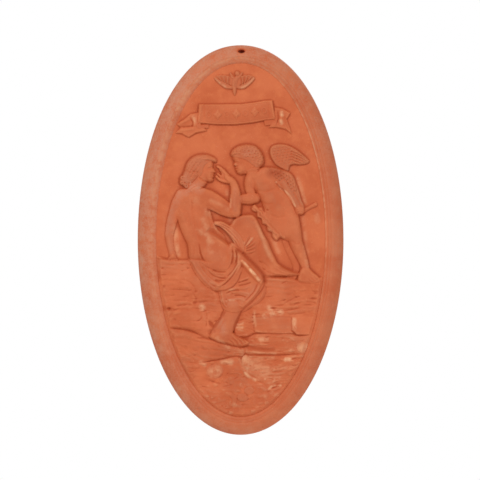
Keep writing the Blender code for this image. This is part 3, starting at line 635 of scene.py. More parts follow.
def banner():
    left = Sprig("banner_tail_left").pillow(corners([(-38, 117.4), (-46, 116.2), (-52, 111.4), (-59, 106.6),
        (-55.4, 103.2), (-60.4, 98.2), (-54, 97.8), (-48, 94.2), (-41, 98.4), (-30.4, 100.6),
        (-36, 104.6)]), 2.4, 1.0)
    left.ridges([[(-56, 107), (-48, 111), (-42, 115.4)], [(-56, 100.6), (-50, 101.4), (-42, 102.2)]], 2.2,
        1.0)
    left.ridges([[(-57, 104), (-50, 104.2), (-43, 105)], [(-47, 113), (-44, 108), (-45, 104)]], 1.4, -1.3)
    left.ridge([(-43, 113), (-42.6, 109), (-42, 104)], 1.8, 1.2)
    left.lay(wash=0.25, moat=1.0)
    right = Sprig("banner_tail_right").pillow(corners([(31, 122.2), (38.4, 121.2), (46, 117), (42.6, 111),
        (47.6, 96.8), (41.4, 101.8), (33, 103.6), (24.6, 103.4), (31, 108)]), 2.4, 1.0)
    right.ridges([[(37.6, 119), (37.6, 114), (37, 107)]], 2.4, 1.5)
    right.ridges([[(34, 119), (34.6, 113), (33.6, 107)], [(40.4, 114), (42, 108), (45, 100)]], 1.3, -1.2)
    right.lay(wash=0.2, moat=1.0)
    Sprig("banner_fold_left").pillow(corners([(-41.2, 109.4), (-38, 106), (-29.6, 106.4), (-29.4, 102.6),
        (-40.2, 103)]), 1.5, 0.6).lay(0.1, 0.9)
    Sprig("banner_fold_right").pillow(corners([(21, 111), (22.6, 105.2), (33, 106), (34, 112)]), 1.5,
        0.6).lay(0.1, 0.9)
    outline = [(-38.4, 125.2), (-30, 125.0), (-18, 125.1), (0, 125.2), (13, 126.8), (22, 128.4),
        (29.4, 128.8), (30.8, 120), (32.4, 111.2), (24, 110.4), (10, 107.8), (-5, 106.2), (-22, 106.2),
        (-39.6, 107.8), (-39, 117)]
    panel = Sprig("banner_panel").pillow(corners(outline, 0.5), 3.0, 0.7)
    panel.ridges([[(-37, 123.4), (-18, 123.3), (0, 123.4), (13, 125), (27.6, 126.9)],
        [(-37.8, 109.4), (-22, 108), (-5, 108), (10, 109.6), (24, 112.2), (30.6, 112.8)]], 0.9, -0.55,
        ends=(0.02, 0.02))
    panel.ridges([[(-37, 124), (-37.6, 116), (-38.4, 108.6)], [(28.4, 127.6), (29.6, 120), (31.2, 112)]],
        2.4, 1.0, ends=(0.05, 0.05))
    panel.ridges([[(-33.4, 124), (-33.6, 116), (-34, 108)], [(25, 126.6), (26, 119), (27, 112)]], 1.6, -0.7)
    for x in (-29.5, -12.5, 4.5, 21.5):
        z = 115.4 + 0.0016 * (x + 27.5) ** 2
        panel.dome(x, z, 3.3, 3.7, 1.3, 0, 2.6, 0.4).bump(x, z, 2.1, 2.5, -1.6)
        panel.dome(x, z, 0.9, 1.0, 1.0, 0, 2.4, 0.3)
    panel.rough(0.12 * cloud(6, 81))
    panel.lay(wash=0.34, moat=1.2)
    for count in range(3):
        x = -21.0 + 17.0 * count
        z = 115.4 + 0.0016 * (x + 27.5) ** 2
        mark = Sprig(f"banner_lozenge_{count + 1}")
        u, v = np.abs(X - x) / 4.0, np.abs(Z - z) / 4.8
        mark.h = np.where(u + v < 1, 3.0 + 1.6 * np.clip(1 - u - v, 0, 0.55) / 0.55, 0).astype(np.float32)
        mark.bump(x, z, 1.5, 1.7, -0.6)
        mark.lay(wash=0.3, moat=0.35)


# ---------------------------------------------------------------- cupid

def curls(sprig, outline, pitch, radius, height, seed):
    """Cover a patch of hair with small ring curls."""
    path = smooth(outline, True)
    rng = np.random.default_rng(seed)
    low, high = path.min(0), path.max(0)
    row = 0
    z = low[1]
    while z < high[1]:
        x = low[0] + (row % 2) * pitch / 2
        while x < high[0]:
            cx, cz = x + rng.normal(0, 0.35), z + rng.normal(0, 0.35)
            if inside(path, np.array([[cx]]), np.array([[cz]]))[0, 0]:
                size = radius * rng.uniform(0.85, 1.2)
                sprig.bump(cx, cz, size * 1.25, size * 1.1, height, rng.uniform(0, 3))
                sprig.bump(cx + 0.25, cz - 0.15, size * 0.62, size * 0.55, -1.2 * height)
            x += pitch
        z += pitch * 0.84
        row += 1


def feathers(sprig, outline, along, pitch, width, height):
    """Overlapping scale feathers inside an outline; along is the direction they point."""
    path = smooth(outline, True)
    w = window(path, 1)
    x, z = X[w], Z[w]
    c, s = math.cos(along), math.sin(along)
    u = (x * c + z * s) / pitch
    v = (z * c - x * s) / width
    best = np.zeros_like(u)
    for shift in (0, 1):
        row = np.floor(u) - shift
        across = (v + 0.5 * (row % 2)) % 1.0 - 0.5
        reach = u - row + 2.2 * across ** 2
        scale = np.where(reach < 1.55, 0.35 + 0.65 * np.clip(reach / 1.55, 0, 1) - 0.9 * across ** 2, 0)
        rib = 0.16 * np.exp(-(across / 0.07) ** 2)
        best = np.maximum(best, np.where(scale > 0, scale - rib, 0))
    soft = np.clip(distance(path, x, z, True)[0] / 1.2, 0, 1) * inside(path, x, z)
    sprig.h[w] += height * (best - 0.5) * soft * sprig.body(w)


def wings():
    upper = Sprig("cupid_wing_upper").pillow([(27.6, 76.6), (26.8, 82), (28.6, 86.2), (33, 88), (39, 88.2),
        (46.4, 86.2), (54, 81.6), (60, 76.4), (63.4, 73), (62, 70.6), (56, 69.2), (48.4, 69.4),
        (45.4, 68.2), (43.4, 63.4), (38, 65.4), (32, 69.6)], 3.0, 1.3, tilt=(-0.012, 0.02))
    upper.ridge([(27.6, 78), (28.4, 84), (33, 87), (41, 87), (51, 82.6), (62, 73.6)], 1.5, 0.9,
        ends=(0.05, 0.05))
    feathers(upper, [(28, 77), (29, 85), (38, 87), (47, 84), (55, 78), (50, 71), (44, 68), (36, 69)], -0.25,
        3.0, 2.7, 1.8)
    upper.ridges([[(46, 83.2), (54, 79.4), (61, 74.6)], [(47, 80.6), (54, 77.4), (61.4, 73)],
        [(47, 78), (54, 75), (60.6, 71.8)], [(47, 75.4), (53, 73), (58, 70.8)],
        [(46, 72.8), (50, 71.2), (54, 70)]], 1.25, 0.9, ends=(0.2, 0.05))
    upper.ridges([[(46, 82), (54, 78.4), (61, 73.8)], [(46, 79.4), (54, 76.2), (60.6, 72.4)],
        [(46, 76.8), (53, 74), (59, 71.2)], [(45, 74.2), (51, 72), (56, 70.4)]], 0.7, -0.9,
        ends=(0.1, 0.05))
    upper.lay(wash=0.62, moat=1.4)

    stave = Sprig("bow_stave").pillow([(54, 27), (61, 30.4), (68.6, 34.8), (70.6, 34.2), (70.4, 31.4),
        (64, 28.4), (58.6, 25.2), (53, 22.4)], 1.7, 1.0)
    stave.ridge([(58, 27.4), (64, 30.6), (69.6, 33.2)], 1.0, 0.4)
    stave.lay(wash=0.15, moat=0.7)

    lower = Sprig("cupid_wing_lower").pillow([(22, 66), (28, 67), (34, 66.2), (41, 64), (46, 61.6),
        (49.4, 57.4), (51.6, 51), (54, 44), (56, 37), (59, 30), (57, 25.6), (51, 26), (49.6, 32),
        (45.4, 41), (42, 44.4), (38, 46.8), (34, 50.4), (30, 55), (26, 60)], 3.6, 1.6, tilt=(-0.02, 0.0))
    feathers(lower, [(23, 65), (33, 65.6), (44, 61.6), (48.6, 56), (52, 46), (47, 44), (40, 48), (32, 56)],
        -1.0, 3.1, 2.7, 2.8)
    lower.tube([(40, 52, 3.0), (44.6, 44, 3.2), (48.6, 37.4, 3.0), (52.6, 30.4, 2.7)], 0.8, 3.0)
    lower.ridges([[(51.6, 50), (53.4, 42), (55.8, 35)], [(49.4, 52), (51.6, 43), (54, 36)]], 0.9, 0.8)
    lower.ridges([[(50.6, 51), (52.6, 42.6), (55, 35.6)], [(36, 60), (42, 54), (46, 46)]], 0.8, -0.9)
    lower.lay(wash=0.66, moat=1.6)
    fist = Sprig("cupid_fist").dome(54.2, 27.6, 4.8, 4.4, 5.6, -0.4, 0.8)
    fist.ridges([[(51.6, 24.8), (54, 26.4), (57.6, 25.6)], [(51, 27), (54, 28.4), (58.4, 27.8)],
        [(51.8, 29.6), (55, 30.4), (58.6, 30)]], 0.8, -0.9)
    fist.lay(wash=0.35, moat=1.2, into=("cupid_wing_lower",))


def cupid_far_leg():
    far = Sprig("cupid_far_leg").tube([(42, 4, 4.6), (44, -4, 4.4), (47.4, -13, 3.8), (51, -22, 3.2),
        (51.4, -28, 2.8)], 0.34, 0.3)
    far.tube([(51.4, -28, 2.8), (49, -33, 3.2), (44.4, -35.4, 2.6)], 0.5, 0.5)
    far.lay(wash=0.15, moat=0.25)


def cupid_near_leg():
    near = Sprig("cupid_near_leg").tube([(47, 18, 7.2), (49, 8, 6.9), (50.4, 0, 6.4), (53.6, -9, 5.6),
        (57.2, -18, 4.6), (59.6, -25, 3.7), (60.2, -30, 3.6)], 0.92, 0.8)
    near.bump(52.4, -6, 3.4, 5, 0.7, 0.3).bump(56, -15, 3, 4.6, 0.7, 0.3)
    near.ridge([(47, 0), (51, -3.4), (55, -2.6)], 1.6, -0.5)
    near.lay(wash=0.3, moat=1.2)
    foot = Sprig("cupid_near_foot").pillow([(56, -26), (62.6, -25.6), (67, -29.4), (71.6, -33.4),
        (73.4, -36.6), (69, -39.4), (60, -40), (53.6, -38.6), (52.4, -34.6)], 4.6, 2.6, 0.5,
        tilt=(-0.05, 0.03))
    foot.ridges([[(66.4, -32), (69, -35), (71.6, -37)], [(64, -33.6), (66.6, -36.4), (69, -38.4)],
        [(61.4, -34.8), (63.4, -37), (65.4, -39)]], 0.8, -0.8, ends=(0.5, 0.05))
    foot.bump(58, -29.6, 2, 2, 0.8)
    foot.lay(wash=0.25, moat=1.0, into=("cupid_near_leg",))


def cupid_torso():
    torso = Sprig("cupid_torso").pillow([(6, 60), (12, 63), (20, 67), (27, 66), (31, 59), (35, 50.6),
        (41, 45.4), (46, 40), (49.4, 32), (52, 26), (54, 20), (55, 12), (54.8, 4), (50, -2), (44, -1),
        (37, 2), (29, 8), (22, 18), (21, 28), (18.6, 36), (14, 44), (9, 52)], 6.4, 6.0, 0.55)
    torso.bump(17, 56, 8, 8, 0.7).bump(34, 36, 10, 13, 0.9, 0.5).bump(43, 14, 9, 11, 0.9, 0.3)
    torso.bump(27, 37, 7, 8, 0.9)
    torso.ridges([[(14, 46), (22, 44.6), (30, 46.4), (36, 47)], [(18, 36), (24, 33), (30, 33.6)],
        [(26, 24), (33, 21), (42, 22)]], 2.2, -0.7)
    torso.ridge([(10, 58), (14, 50), (16.6, 42)], 1.6, -0.6)
    torso.bump(24.6, 27.6, 1.5, 1.5, -1.8)
    torso.lay(wash=0.34, moat=1.1, into=("cupid_near_leg", "cupid_wing_lower"))


def cupid_sash():
    sash = Sprig("cupid_sash").pillow([(10, 30.4), (13, 33), (16.4, 30.4), (20, 30.4), (22, 26.4),
        (25.6, 24.6), (27, 20), (31, 17.6), (32.6, 13), (37, 10.6), (38.6, 6), (43, 3), (40, 0.4),
        (36.4, 2.2), (33, -0.8), (29.4, 2.6), (28.4, 6.8), (24.6, 8.6), (23.6, 13), (19.6, 15),
        (18.6, 19.4), (15, 20.8), (14.4, 25), (11, 26.4)], 4.4, 2.2)
    for k in range(8):
        side = 1.3 if k % 2 else -1.1
        x, z = 12.4 + 3.5 * k + side, 29 - 3.6 * k + side
        sash.ridge([(x - 2.6, z + 3.4), (x - 1.2, z + 0.6), (x + 1.4, z - 0.8), (x + 2.8, z - 4)], 1.2, 0.95)
        sash.ridge([(x - 1.4, z + 3.8), (x + 0.2, z + 1.2), (x + 2.4, z - 0.4), (x + 3.8, z - 3.2)], 0.8,
            -0.95)
    sash.rough(0.3 * cloud(2.6, 87, 1.0, 2))
    sash.lay(wash=0.4, moat=0.12, over=0.3, into=("cupid_torso", "cupid_near_leg"))


def cupid_head():
    face = Sprig("cupid_head").pillow([(-8.4, 79.4), (-7.8, 76), (-6.6, 73.2), (-5.7, 71.8), (-6.5, 69.6),
        (-6.2, 68.5), (-4.7, 67.6), (-5.2, 66.4), (-4.5, 65.5), (-4.9, 64.6), (-3.9, 63.3), (-3.2, 61.4),
        (-0.4, 60.0), (3, 60.4), (8, 60), (14, 60.6), (18, 66), (17, 74), (8, 82), (-2, 83)], 5.9, 4.6, 0.5)
    face.bump(0.8, 66.2, 4.2, 3.8, 1.0).bump(-3.4, 75.6, 3.6, 3.0, 0.5).bump(-1.4, 62.8, 2.4, 1.6, 0.5)
    face.ridge([(-6.0, 72.4), (-3.2, 73.0), (-0.6, 72.2)], 0.9, 0.5)
    face.bump(-2.9, 70.9, 1.9, 1.2, -1.3).bump(-2.8, 70.8, 1.2, 0.7, 1.0)
    face.ridge([(-4.0, 70.3), (-2.8, 70.0), (-1.4, 70.5)], 0.45, -0.5)
    face.bump(-4.9, 68.7, 0.9, 0.8, 0.5).ridge([(-4.9, 65.6), (-3.6, 65.7), (-2.6, 65.9)], 0.5, -0.7)
    face.ridge([(12.4, 60), (7, 61.4), (3.6, 64)], 1.1, -0.7)
    face.lay(wash=0.2, moat=1.2, into=("cupid_torso",))
    cap = [(-9.2, 79), (-7, 83.4), (-2, 86.6), (5, 88.2), (12, 87.2), (17.4, 83.4), (20.8, 77.6),
        (21.4, 71.6), (18.6, 67.4), (14, 67), (10.4, 69.4), (6.6, 72.6), (1, 75), (-4, 76.2), (-7.6, 76.6)]
    hair = Sprig("cupid_hair").pillow(cap, 6.4, 4.2, 0.5)
    curls(hair, cap, 3.6, 1.9, 1.4, 3)
    hair.lay(wash=0.6, moat=1.0)
    ear = [(10.6, 69.6), (12.4, 69.4), (12.6, 67.2), (11, 66.4)]
    paint(STAIN_AND_SHADE, ear, 0.6, 0.4)


def cupid_arm():
    arm = Sprig("cupid_upper_arm").tube([(11.4, 60, 6.0), (8.8, 53.6, 5.2), (8.6, 47, 4.6),
        (10.4, 41.6, 4.0)], 1.0, 1.2)
    arm.bump(8.6, 55, 3.4, 4.6, 0.6)
    arm.lay(wash=0.3, moat=0.9, into=("cupid_torso",))
    arm = Sprig("cupid_forearm").tube([(-2, 37.4, 4.2), (3, 37.6, 4.7), (9, 38, 5.2), (13.6, 38.6, 4.6)],
        1.0, 1.4)
    arm.ridges([[(1, 40), (6, 40.6), (11, 40.2)], [(1, 35.4), (6, 35), (10, 35.4)]], 1.0, -0.35)
    arm.lay(wash=0.3, moat=1.2, into=("cupid_upper_arm",))


# ---------------------------------------------------------------- woman

def far_leg_drape():
    far = Sprig("drape_far_leg").pillow([(-12, 8), (-8, 16), (-4, 21), (3, 23.4), (10, 23.8), (14.4, 20.4),
        (18.2, 13), (21.4, 5.6), (25.4, -1), (28.6, -9), (32, -16), (35, -21.6), (41, -25.4), (48, -28.6),
        (55, -31.4), (47, -33.6), (34, -33.4), (22, -34), (12, -30), (6, -20), (0, -10)], 5.2, 2.6, 0.5)
    far.ridge([(13, 18), (16.4, 11), (20.6, 1), (24, -9), (28.6, -18), (34, -24)], 4.2, 1.5)
    far.ridge([(18.4, 2), (16, -10), (18, -20), (23, -28)], 3.4, -1.2)
    far.bump(6, 13, 9, 8, 0.9)
    far.ridges([[(4.6, -6), (8, -2.6), (12.4, 3.8)], [(5, -7.4), (9.4, -4.6), (14, -0.8)],
        [(5, -9), (10, -7.6), (14.6, -5.4)], [(4.4, -11.4), (9.4, -11), (14, -9.8)],
        [(3, -4.6), (5.6, 0), (8, 4.8)]], 0.9, 1.3, ends=(0.05, 0.35), crisp=1.3)
    far.ridges([[(5, -6.8), (9, -3.6), (13, 1.4)], [(5, -8.2), (10, -6), (14.4, -3)],
        [(4.8, -10.2), (10, -9.2), (14.4, -7.6)], [(5, -13.4), (9.6, -12.6), (13.4, -10.6)],
        [(4, -5.4), (6.6, -1.4), (9.8, 4.4)]], 0.7, -0.9, ends=(0.05, 0.35))
    far.ridges([[(30, -24), (40, -29.4), (50, -31.6)], [(26, -27), (34, -31), (44, -32.6)]], 1.6, 0.7)
    far.ridges([[(16, -19), (22, -22), (28, -28)], [(19, -25), (26, -30), (32, -32)]], 1.2, -0.7)
    far.lay(wash=0.28, moat=0.8)


def hem_fold():
    hem = Sprig("drape_hem_fold").pillow([(17, -38), (22, -42), (23.4, -45.6), (21.8, -51.6), (17, -57.4),
        (10, -61.6), (4, -65.4), (-2, -65.6), (6, -56), (14, -46)], 4.2, 1.4)
    hem.ridge([(21.4, -45), (19, -52), (13, -57.6), (5, -62.6)], 1.3, 0.8)
    hem.lay(wash=0.25, moat=1.0)


def shin_and_foot():
    shin = Sprig("woman_shin").tube([(-6.8, -60, 7.6), (-8.2, -67, 7.5), (-11.2, -74, 7.6),
        (-14, -80.6, 8.0), (-16, -87, 7.8)], 0.7, 3.2)
    shin.ridge([(-16, -71), (-21.4, -79), (-25.6, -86)], 2.6, 0.8)
    shin.tube([(-18, -78, 4.6), (-22.4, -86, 5.0)], 0.7, 3.0, 2.0)
    shin.ridges([[(-14.4, -73), (-18.4, -80), (-20.6, -86)]], 1.6, -0.6)
    shin.bump(-12.6, -85.6, 3.2, 3.2, 0.9)
    shin.lay(wash=0.5, moat=1.9, over=1.6)
    foot = Sprig("woman_foot").pillow([(-24, -83.6), (-28.2, -87.2), (-28.2, -90.4), (-22, -93.6),
        (-14, -95.4), (-5, -98), (3, -98), (7.6, -96), (7.8, -93.4), (3, -90.6), (-3, -88.4), (-7, -85),
        (-14, -83)], 6.8, 2.6, 0.5, tilt=(-0.05, 0.05))
    foot.ridges([[(-12.6, -91), (-8, -94), (-6, -97.4)], [(-8.6, -89.6), (-4.4, -93), (-2.2, -97)],
        [(-5, -89), (-0.8, -92), (1.8, -96.4)], [(-1.4, -88.8), (2.4, -91.4), (5, -95)]], 0.95, -1.3,
        ends=(0.45, 0.02))
    foot.ridges([[(-10.4, -91), (-6, -94), (-4, -97)], [(-6.6, -89.4), (-2.6, -92.8), (-0.4, -96.6)],
        [(-3, -89), (0.8, -92), (3.4, -95.8)]], 1.0, 0.5, ends=(0.5, 0.02))
    foot.lay(wash=0.34, moat=1.1, over=1.2, into=("woman_shin",))


def calf_drape():
    calf = Sprig("drape_near_calf").pillow([(-20, -43), (-19.6, -50), (-18, -58), (-15.4, -64), (-10, -66),
        (-4, -66.4), (1.4, -65), (6, -61), (11, -56), (17, -49), (20.8, -43.4), (21.8, -37.6), (18, -30),
        (8, -22), (-2, -24), (-10, -34)], 7.0, 5.0, 0.5)
    calf.ridges([[(-1, -38), (4, -36), (8, -34)], [(-10, -46), (-4, -44), (2, -44.6), (8, -43)],
        [(-13, -50), (-6, -48), (1, -48), (9, -50)], [(-15, -56), (-8, -55), (-1, -54), (6, -57)],
        [(-14, -61), (-8, -60), (-1, -60), (3, -62)], [(18, -41), (14, -49), (6, -58), (1, -63)],
        [(-17.4, -49), (-16, -57), (-12, -63.4)]], 1.7, 1.1)
    calf.ridges([[(-3, -39.6), (2, -38), (7, -36.4)], [(-12, -47.6), (-6, -46.4), (-1, -46.4)],
        [(-13.6, -49), (-9, -48.4), (-7, -50)], [(-14, -54), (-11, -56.4), (-8, -58)],
        [(-15, -58.4), (-10, -62), (-4, -63)], [(15.6, -40), (12, -48), (3, -57.4)],
        [(-2, -42), (4, -41), (10, -39)], [(-6, -51), (0, -51), (6, -53)]], 1.2, -1.3)
    calf.ridge([(-15, -64.6), (-8, -65.6), (0, -64.4)], 1.2, 0.8, ends=(0.02, 0.02))
    calf.lay(wash=0.36, moat=1.5)


def hip_drape():
    hip = Sprig("drape_hip").pillow([(-48, -17.6), (-46, -22), (-42.6, -29), (-38, -35.6), (-33, -41),
        (-27, -45.4), (-21, -47.2), (-14, -46.4), (-8, -43.6), (-3.4, -39), (-0.6, -33), (1.6, -26),
        (3, -19), (0, -8), (-8, -2), (-16, -10), (-26, -18), (-38, -17)], 6.6, 3.2, 0.5)
    hip.ridges([[(-44, -20), (-38, -29), (-31, -37), (-24, -42)], [(-40, -20), (-34, -29), (-27, -36),
        (-20, -41)], [(-35, -22), (-29, -29), (-22, -33), (-15, -34)], [(-30, -26.6), (-24, -30),
        (-15, -31)], [(-28, -38), (-22, -41), (-15, -43), (-10, -41)]], 1.7, 1.1)
    hip.ridges([[(-42.6, -22), (-36, -31), (-29, -39), (-22, -44)], [(-38, -22), (-31.6, -31), (-25, -37),
        (-18, -39)], [(-32, -26), (-26, -32), (-18, -35), (-12, -35)], [(-26, -27.6), (-20, -29.4),
        (-13, -29.4)], [(-24, -36.6), (-18, -37.6), (-13, -37)]], 1.1, -1.3)
    hip.ridges([[(0.6, -18), (-4, -26), (-9, -33), (-16, -39.6), (-23, -43.6)]], 3.0, 2.0, ends=(0.05, 0.2))
    hip.ridges([[(1, -22), (-3.4, -31), (-9, -38), (-15, -43)]], 1.8, 1.2)
    hip.ridges([[(-1.6, -23), (-6.4, -31.4), (-13, -39), (-20, -44)], [(-3, -21), (-7, -28), (-12, -33.6)]],
        1.1, -1.5)
    hip.ridges([[(-9, -3), (-5, -7.6), (-1.4, -13), (0.6, -20)], [(-10, -10), (-9.4, -17), (-10.6, -24)],
        [(-6, -8), (-5, -14), (-6, -22)], [(-3.4, -9), (-1.8, -16), (-3, -22)]], 1.3, 1.5, crisp=1.4)
    hip.ridges([[(-8, -8), (-7, -15), (-8.4, -23)], [(-4.8, -8), (-3.4, -15), (-4.4, -22)],
        [(-7.4, -3.6), (-3, -9), (-0.4, -15)], [(-12, -12), (-12, -18), (-12.6, -24)]], 0.8, -1.4)
    hip.lay(wash=0.42, moat=1.3)


def thigh_drape():
    thigh = Sprig("drape_near_thigh").pillow([(-4, -12), (-1, -9), (4, -13.6), (10, -19.6), (16, -25.8),
        (20.4, -31.6), (22, -38), (18.6, -41.6), (13, -38), (7, -32), (1, -25), (-2.4, -19)], 7.4, 3.0, 0.5)
    thigh.ridge([(0, -18), (5, -24), (11, -31), (17.4, -38.4)], 2.6, 2.6, ends=(0.1, 0.05))
    thigh.ridge([(6, -20), (11, -26), (16.6, -32.6), (19.4, -37)], 1.5, -1.0)
    thigh.ridge([(3, -27.4), (8, -33), (13, -38)], 1.2, -1.2)
    thigh.lay(wash=0.2, moat=2.2, into=("drape_hip", "drape_near_calf"))


def waist_roll():
    roll = Sprig("drape_waist_roll").tube([(-23.4, 15.6, 1.7), (-18, 14.6, 2.6), (-12, 10.8, 3.4),
        (-6.4, 5, 4.0), (-2.4, -0.6, 4.2), (0, -6.4, 3.4), (0.6, -10, 2.4)], 0.6, 3.4)
    for k in range(7):
        shift = 1.1 * (k - 3)
        line = [(-21 + 0.3 * shift, 15 + 0.6 * shift), (-13 + 0.5 * shift, 11.2 + 0.9 * shift),
            (-6.2 + 0.8 * shift, 5.2 + 0.9 * shift), (-1.4 + 0.9 * shift, -1 + 0.5 * shift),
            (0.8 + shift, -8)]
        roll.ridge(line, 0.8, 1.1 if k % 2 else -1.2)
    roll.lay(wash=0.45, moat=1.2)


def woman_torso():
    torso = Sprig("woman_torso").pillow([(-46, 53), (-51, 48.4), (-57, 44), (-60.6, 36), (-60, 25),
        (-57.4, 15.6), (-55, 9), (-52, 2), (-49.6, -3), (-48.4, -8.4), (-47.4, -16.6), (-43, -19.6),
        (-37, -20.4), (-31, -24.4), (-25, -27.2), (-18, -28), (-12, -26.6), (-8.6, -20), (-7.6, -12),
        (-9, -4), (-15, 4), (-21, 10), (-24.6, 17), (-27, 25), (-29, 33), (-33, 42), (-37, 51)], 6.8, 7.5,
        0.55)
    torso.bump(-50, 35, 7, 9, 0.8).bump(-38, 34, 7, 9, 0.7).bump(-43, 37, 2.6, 3.2, 0.4)
    torso.ridge([(-44, 47), (-45, 36), (-44.4, 24), (-41.6, 12), (-38.4, 3), (-37, -6)], 3.2, -0.9)
    torso.ridge([(-52, 30), (-49, 20), (-46, 10)], 3.4, -0.4)
    torso.ridge([(-38, 10), (-32.6, 5), (-29, -1), (-27, -9)], 5.0, 1.0)
    torso.ridge([(-35, 20), (-33, 14), (-31.4, 8)], 3.2, 0.7)
    torso.ridge([(-29.6, 30), (-29.4, 22), (-26, 12)], 2.4, -1.0)
    torso.dome(-22.6, -12.6, 14.6, 14.4, 6.4, 0.25, 1.7, 2.4)
    torso.ridge([(-38.4, -3), (-36.8, -12), (-34, -19), (-28, -24.4), (-21, -26.8), (-13, -27)], 1.3, -2.2,
        ends=(0.25, 0.1))
    torso.ridge([(-30, 10), (-22, 5.4), (-15, 0.6), (-9, -3.6)], 4.2, -3.4, ends=(0.2, 0.1))
    torso.ridge([(-44, -4), (-43, -11), (-44, -17)], 1.8, -0.5)
    torso.ridge([(-27, 27), (-23.4, 24), (-21, 20)], 2.0, -1.2)
    torso.lay(wash=0.36, moat=0.95)


def propped_arm():
    arm = Sprig("woman_propped_arm").tube([(-53.6, 41, 6.2), (-57.8, 33, 6.0), (-61, 24, 5.2),
        (-64, 14, 4.5), (-65.8, 4, 3.6), (-65, -4, 3.0), (-63.4, -11, 2.7), (-62.4, -15, 3.0)], 0.62, 0.6)
    arm.bump(-64.6, 10, 3, 4, 0.5).bump(-66, 0, 2, 4, 0.4)
    for x, z in ((-66.2, -18.2), (-63.8, -19.2), (-61.2, -19.2), (-58.8, -18.2)):
        arm.tube([(-62.4, -14.4, 1.9), ((x - 62.4) / 2, (z - 14.4) / 2, 1.35), (x, z, 1.05)], 1.0, 1.2, 0.4)
    arm.lay(wash=0.26, moat=0.4, into=("woman_torso",))


def woman_head():
    neck = Sprig("woman_head").tube([(-43, 47, 6.4), (-38, 53, 5.8), (-34, 58, 5.6)], 0.85, 1.4)
    neck.pillow([(-35.3, 75), (-27.3, 74.4), (-25.7, 72.2), (-25.1, 69.6), (-25.3, 67.2), (-23.9, 65.0),
        (-22.7, 63.0), (-23.1, 62.1), (-24.5, 61.6), (-24.1, 60.5), (-24.6, 59.5), (-24.2, 58.6),
        (-25.2, 57.2), (-25.1, 55.4), (-26.7, 53.6), (-29.7, 53.0), (-33.3, 54.2), (-37.3, 56.4),
        (-41.3, 60), (-43.3, 68)], 5.8, 4.6, 0.5)
    neck.bump(-30.3, 60.6, 4.0, 4.2, 0.9).bump(-27.9, 70.2, 3.0, 2.6, 0.4).bump(-27.3, 55.6, 2.2, 1.7, 0.5)
    neck.ridge([(-25.5, 67.6), (-27.9, 68.1), (-30.7, 67.2)], 0.9, 0.5)
    neck.bump(-28.3, 65.8, 2.1, 1.3, -1.3).bump(-28.4, 65.6, 1.3, 0.7, 1.0)
    neck.ridge([(-26.9, 65.2), (-28.3, 64.8), (-29.9, 65.3)], 0.45, -0.5)
    neck.bump(-24.9, 62.6, 1.0, 0.8, 0.5).ridge([(-24.4, 59.5), (-25.9, 59.6), (-27.1, 59.9)], 0.5, -0.7)
    neck.ridge([(-29.3, 53.2), (-34.3, 54.6), (-38.3, 57.6)], 1.2, -1.3)
    neck.lay(wash=0.22, moat=1.0, into=("woman_torso",))


def woman_hair():
    hair = Sprig("woman_hair").pillow([(-47, 50.4), (-53, 52.6), (-54, 58), (-51.8, 64), (-50, 70),
        (-45.6, 75.4), (-39, 78.6), (-31, 78.6), (-25, 76.4), (-21.8, 73.6), (-23, 71.4), (-27.6, 71.8),
        (-32, 70), (-34.4, 66), (-35.4, 61), (-38.6, 57.4), (-42, 53)], 6.0, 4.2, 0.5)
    outer = [(-22.6, 74), (-30, 77.4), (-38, 77.2), (-45.6, 73), (-50, 66), (-52.4, 59)]
    inner = [(-25, 72), (-31, 71.6), (-34.6, 67.6), (-36.4, 62.4), (-39.6, 58.6), (-44, 55)]
    for count, share in enumerate(np.linspace(0.04, 0.96, 5)):
        wave = 1.1 * np.sin(2.2 * np.arange(6) + 1.9 * count)
        lock = [(a[0] * (1 - share) + b[0] * share + 0.4 * w, a[1] * (1 - share) + b[1] * share + w) for a,
            b, w in zip(outer, inner, wave)]
        hair.ridge(lock, 2.1, 0.5, ends=(0.05, 0.05))
        hair.ridge([(x + 0.9, z - 1.5) for x, z in lock], 0.9, -0.35, ends=(0.08, 0.08))
    curls(hair, [(-51, 58), (-50, 68), (-44, 74), (-36, 76), (-29, 75), (-35, 68), (-37.4, 61), (-44, 55)],
        4.0, 2.1, 0.8, 41)
    hair.rough(0.35 * cloud(2.6, 97, 1.0, 2))
    hair.ridge([(-53, 64), (-46, 62.6), (-40, 62.6), (-37, 60)], 1.4, -0.9)
    hair.bump(-36.4, 69.8, 1.3, 1.3, -1.6)
    hair.lay(wash=0.5, moat=0.75)
    bun = Sprig("woman_hair_bun").dome(-50.4, 54.4, 5.6, 5.8, 5.0, 0, 0.8)
    for x, z, size in ((-53, 57, 2.5), (-49, 57.4, 2.4), (-51.4, 52.6, 2.5), (-47.4, 52.4, 2.5),
            (-54, 52.6, 2.0), (-50, 49.6, 2.0), (-46, 56, 2.0)):
        bun.dome(x, z, size, size * 0.9, 1.8, 0, 4.2, 0.6).bump(x, z, size * 0.45, size * 0.4, -2.2)
    bun.lay(wash=0.6, moat=0.8, into=("woman_hair",))


